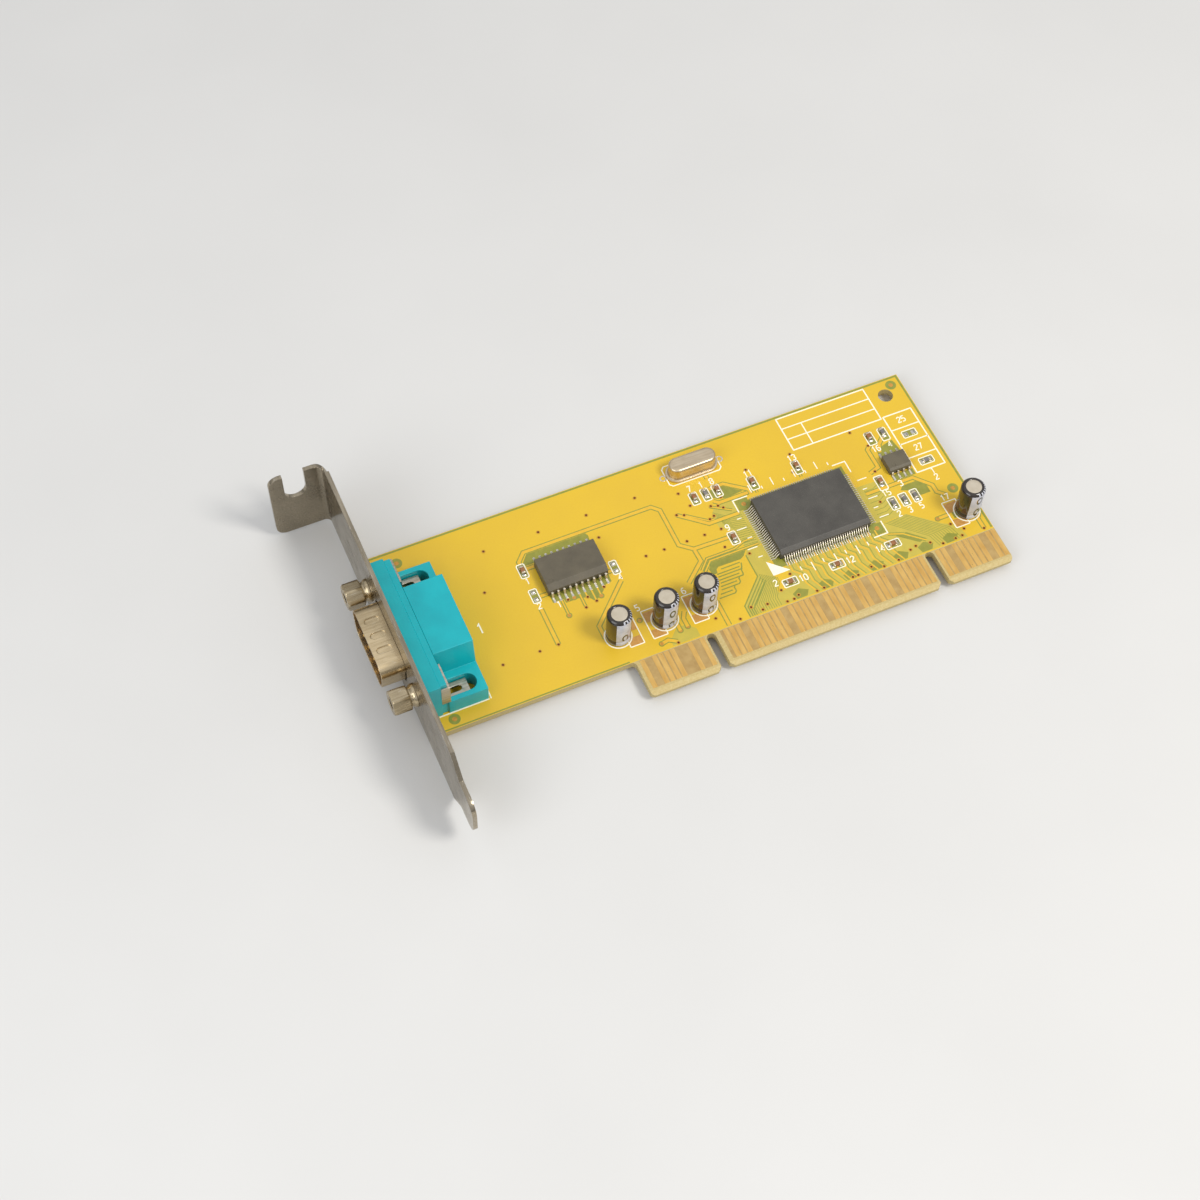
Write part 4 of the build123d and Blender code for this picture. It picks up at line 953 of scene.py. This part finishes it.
def skin(x, y, angle, t, extra):
    """Point just over the sleeve, from an angle in degrees and a place along its side."""
    k = min(int(t), len(SIDE) - 2)
    f = t - k
    r = SIDE[k][0] * (1 - f) + SIDE[k + 1][0] * f + extra
    z = SIDE[k][1] * (1 - f) + SIDE[k + 1][1] * f + (extra * 0.7 if k > SHOULDER else 0)
    return x + r * cos(radians(angle)), y + r * sin(radians(angle)), z


def step_at(z):
    """Place along the sleeve's side at a height."""
    k = max(i for i in range(len(SIDE) - 1) if SIDE[i][1] <= z)
    return k + (z - SIDE[k][1]) / (SIDE[k + 1][1] - SIDE[k][1])


def patch(layer, x, y, a0, a1, t0, t1):
    """Print between two angles and two places, in narrow columns that follow the curve."""
    columns = max(1, int(abs(a1 - a0) / PRINT_COLUMN))
    levels = [t0] + [t for t in range(int(t0) + 1, int(t1) + 1) if t < t1] + [t1]
    rings = []
    for i in range(columns + 1):
        a = a0 + (a1 - a0) * i / columns
        rings.append([skin(x, y, a, t, PRINT_SINK) for t in levels]
                     + [skin(x, y, a, t, PRINT_LIFT) for t in reversed(levels)])
    layer.loft(rings)


for can, (x, y), ring_heights in zip(CANS, CAN_PLACES, RING_MARKS):
    sleeve = Layer(can + "_shrink_sleeve")
    sleeve.lathe(x, y, SLEEVE_PROFILE, 64, True)
    sleeve.done(SLEEVE, "sleeve", [can + "_sleeve"], True)
    top = Layer(can + "_aluminium")
    top.lathe(x, y, CAN_PROFILE, 56)
    top.done(ALUMINIUM, "can_metal", [can + "_shell"], True)
    print_band = Layer(can + "_stripe")
    patch(print_band, x, y, *STRIPE_ANGLES, 0.0, 9.3)
    for a0, a1 in BARS:
        patch(print_band, x, y, a0, a1, 9.5, 11.8)
    print_band.done(STRIPE, "sleeve", smooth=True)
    marks = Layer(can + "_marks")
    for z in ring_heights:
        for i in range(MARK_SIDES):
            corners = []
            for k, size in ((i, 1.0), (i + 1, 1.0), (i + 1, MARK_HOLE), (i, MARK_HOLE)):
                a = 2 * pi * k / MARK_SIDES
                corners.append((MARK_ANGLE + MARK_HALF_ANGLE * size * cos(a),
                                z + MARK_HALF_HEIGHT * size * sin(a)))
            if min(height for _, height in corners) > LOWEST_MARK:
                marks.loft([[skin(x, y, angle, step_at(height), lift) for angle, height in corners]
                            for lift in (PRINT_SINK, MARK_LIFT)])
    marks.done(SLEEVE, "sleeve")


# Quartz crystal

OVAL_SIDES = 64
BASE_SIZE, CAP_SIZE = (11.35, 4.65), (10.3, 3.7)


def oval(length, width, inset, z):
    """Round-ended outline about the crystal's middle."""
    r = width / 2 - inset
    half = length / 2 - width / 2
    points = []
    for i in range(OVAL_SIDES):
        a = 2 * pi * (i + 0.5) / OVAL_SIDES
        s = 1 if cos(a) > 0 else -1
        points.append((CRYSTAL_X + s * half + r * cos(a), CRYSTAL_Y + r * sin(a), z))
    return points


cap_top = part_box("crystal_can")[1][2] / MM
base_bottom, base_top = [corner[2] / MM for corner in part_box("crystal_base")]
quartz_base = Layer("crystal_flange")
quartz_base.loft([oval(*BASE_SIZE, inset, z) for inset, z in
                  ((0.12, base_bottom), (0.02, base_bottom + 0.06), (0.0, base_bottom + 0.2),
                   (0.0, base_top - 0.18), (0.05, base_top - 0.06), (0.18, base_top))])
quartz_base.done(CRYSTAL, "crystal_metal", ["crystal_base"], True)
quartz = Layer("crystal_cap")
rings = [oval(10.6, 4.0, 0.0, base_top - 0.02), oval(10.4, 3.8, 0.02, base_top + 0.1),
         oval(*CAP_SIZE, 0.0, base_top + 0.3)]
for step in range(7):
    a = pi / 2 * step / 6
    rings.append(oval(*CAP_SIZE, 0.55 * (1 - cos(a)), cap_top - 0.55 + 0.55 * sin(a)))
rings.append(oval(*CAP_SIZE, 0.9, cap_top - 0.01))
quartz.loft(rings)
quartz.done(CRYSTAL, "crystal_metal", ["crystal_can"], True)


# Jackscrews: rings from the bottom of the bore, out over the hexagon, back along the shank

SCREW_SIDES = 72
SCREW_Z = 6.25
MOUTH = -63.3
FLATS = 4.76
BORE, THREAD_ROOT, THREAD_STEP = 1.15, 1.32, 0.5
SCREWS = (("near", PORT_Y - PORT_HALF_SPACING, 2.0), ("far", PORT_Y + PORT_HALF_SPACING, -17.0))
BORE_STEPS = [(-58.9, 0.05), (-58.9, BORE)]
for i in range(8):
    x = -59.1 - i * THREAD_STEP
    BORE_STEPS += [(x, BORE), (x - THREAD_STEP / 2, THREAD_ROOT)]
BORE_STEPS += [(MOUTH + 0.12, 1.2), (MOUTH, 1.45), (MOUTH, 2.25)]
HEX_STEPS = ((0.0, 2.3), (0.1, 2.46), (0.22, 2.62), (0.4, 2.9), (3.3, 2.9), (3.45, 2.6),
             (3.58, 2.35))
SHANK_STEPS = ((-59.68, 1.95), (-59.5, 1.92), (-59.3, 1.98), (-59.05, 2.2), (-58.8, 2.34),
               (-58.45, 2.35), (-58.4, 2.3), (-58.4, 1.4), (-52.0, 1.4), (-52.0, 0.05))


def hex_ring(x, y, turn, limit):
    """Hexagon cut by a round limit, on a plane across X."""
    points = []
    for i in range(SCREW_SIDES):
        a = radians(turn) + 2 * pi * i / SCREW_SIDES
        within = (a - radians(turn)) % (pi / 3) - pi / 6
        r = min(FLATS / 2 / cos(within), limit)
        points.append((x, y + r * cos(a), SCREW_Z + r * sin(a)))
    return points


def circle_x(x, y, turn, r):
    """Circle on a plane across X."""
    places = [radians(turn) + 2 * pi * i / SCREW_SIDES for i in range(SCREW_SIDES)]
    return [(x, y + r * cos(a), SCREW_Z + r * sin(a)) for a in places]


for name, y, turn in SCREWS:
    screw = Layer("jackscrew_hex_" + name)
    rings = [circle_x(x, y, turn, r) for x, r in BORE_STEPS]
    rings += [hex_ring(MOUTH + dx, y, turn, limit) for dx, limit in HEX_STEPS]
    rings += [circle_x(x, y, turn, r) for x, r in SHANK_STEPS]
    screw.loft(rings)
    screw.done(SCREW_STEEL, "port_steel", ["jackscrew_" + name], True)


# Floor, lights and camera, in metres

FLOOR_DROP = 0.00002
FLOOR_CORNERS = ((-3, -3), (3, -3), (3, 3), (-3, 3))
floor_z = cad_box[0][2] - FLOOR_DROP
mesh = bpy.data.meshes.new("studio_floor")
mesh.from_pydata([(x, y, floor_z) for x, y in FLOOR_CORNERS], [], [(0, 1, 2, 3)])
mesh.materials.append(FLOOR)
floor = bpy.data.objects.new("studio_floor", mesh)
bpy.context.collection.objects.link(floor)

# The sky brightens upwards in reflections, and is even where the camera sees it
SEEN_SKY = 0.72
world = bpy.data.worlds.new("studio")
bpy.context.scene.world = world
world.use_nodes = True
sky = world.node_tree
back = sky.nodes["Background"]
height = sky.nodes.new("ShaderNodeSeparateXYZ")
sky.links.new(sky.nodes.new("ShaderNodeTexCoord").outputs["Generated"], height.inputs[0])
fade = sky.nodes.new("ShaderNodeMapRange")
sky.links.new(height.outputs["Z"], fade.inputs["Value"])
for key, value in (("From Min", 0.05), ("From Max", 0.85), ("To Min", 0.3), ("To Max", 0.85)):
    fade.inputs[key].default_value = value
seen = sky.nodes.new("ShaderNodeMix")
sky.links.new(sky.nodes.new("ShaderNodeLightPath").outputs["Is Camera Ray"], seen.inputs[0])
sky.links.new(fade.outputs["Result"], seen.inputs[2])
seen.inputs[3].default_value = SEEN_SKY
sky.links.new(seen.outputs[0], back.inputs["Strength"])
back.inputs["Color"].default_value = (0.96, 0.97, 1.0, 1.0)


def lamp(name, place, size, watts, colour, target=(0.0, 0.02, 0.0)):
    """Soft area light aimed at the card."""
    data = bpy.data.lights.new(name, "AREA")
    data.shape = "DISK"
    data.size = size
    data.energy = watts
    data.color = colour
    item = bpy.data.objects.new(name, data)
    bpy.context.collection.objects.link(item)
    way = Vector([t - p for t, p in zip(target, place)])
    item.rotation_euler = way.to_track_quat("-Z", "Y").to_euler()
    item.location = place


lamp("key", (0.30, -0.32, 0.62), size=0.22, watts=3.05, colour=(1.0, 0.97, 0.92))
lamp("fill", (-0.55, -0.20, 0.40), size=0.5, watts=1.6, colour=(0.93, 0.96, 1.0))

camera_data = bpy.data.cameras.new("camera")
camera_data.lens = 60.96
camera_data.sensor_width = 36
camera_data.clip_start = 0.01
camera = bpy.data.objects.new("camera", camera_data)
bpy.context.collection.objects.link(camera)
RIGHT_WAY = (0.91558, -0.401625, 0.020256)
DOWN_WAY = (-0.333799, -0.787118, -0.518675)
FORWARD_WAY = (0.224257, 0.468127, -0.854732)
CAMERA_PLACE = (-0.106063, -0.171435, 0.341159)
rows = [(RIGHT_WAY[i], -DOWN_WAY[i], -FORWARD_WAY[i], CAMERA_PLACE[i]) for i in range(3)]
camera.matrix_world = Matrix(rows + [(0, 0, 0, 1)])
bpy.context.scene.camera = camera
bpy.context.scene.view_settings.view_transform = "Standard"
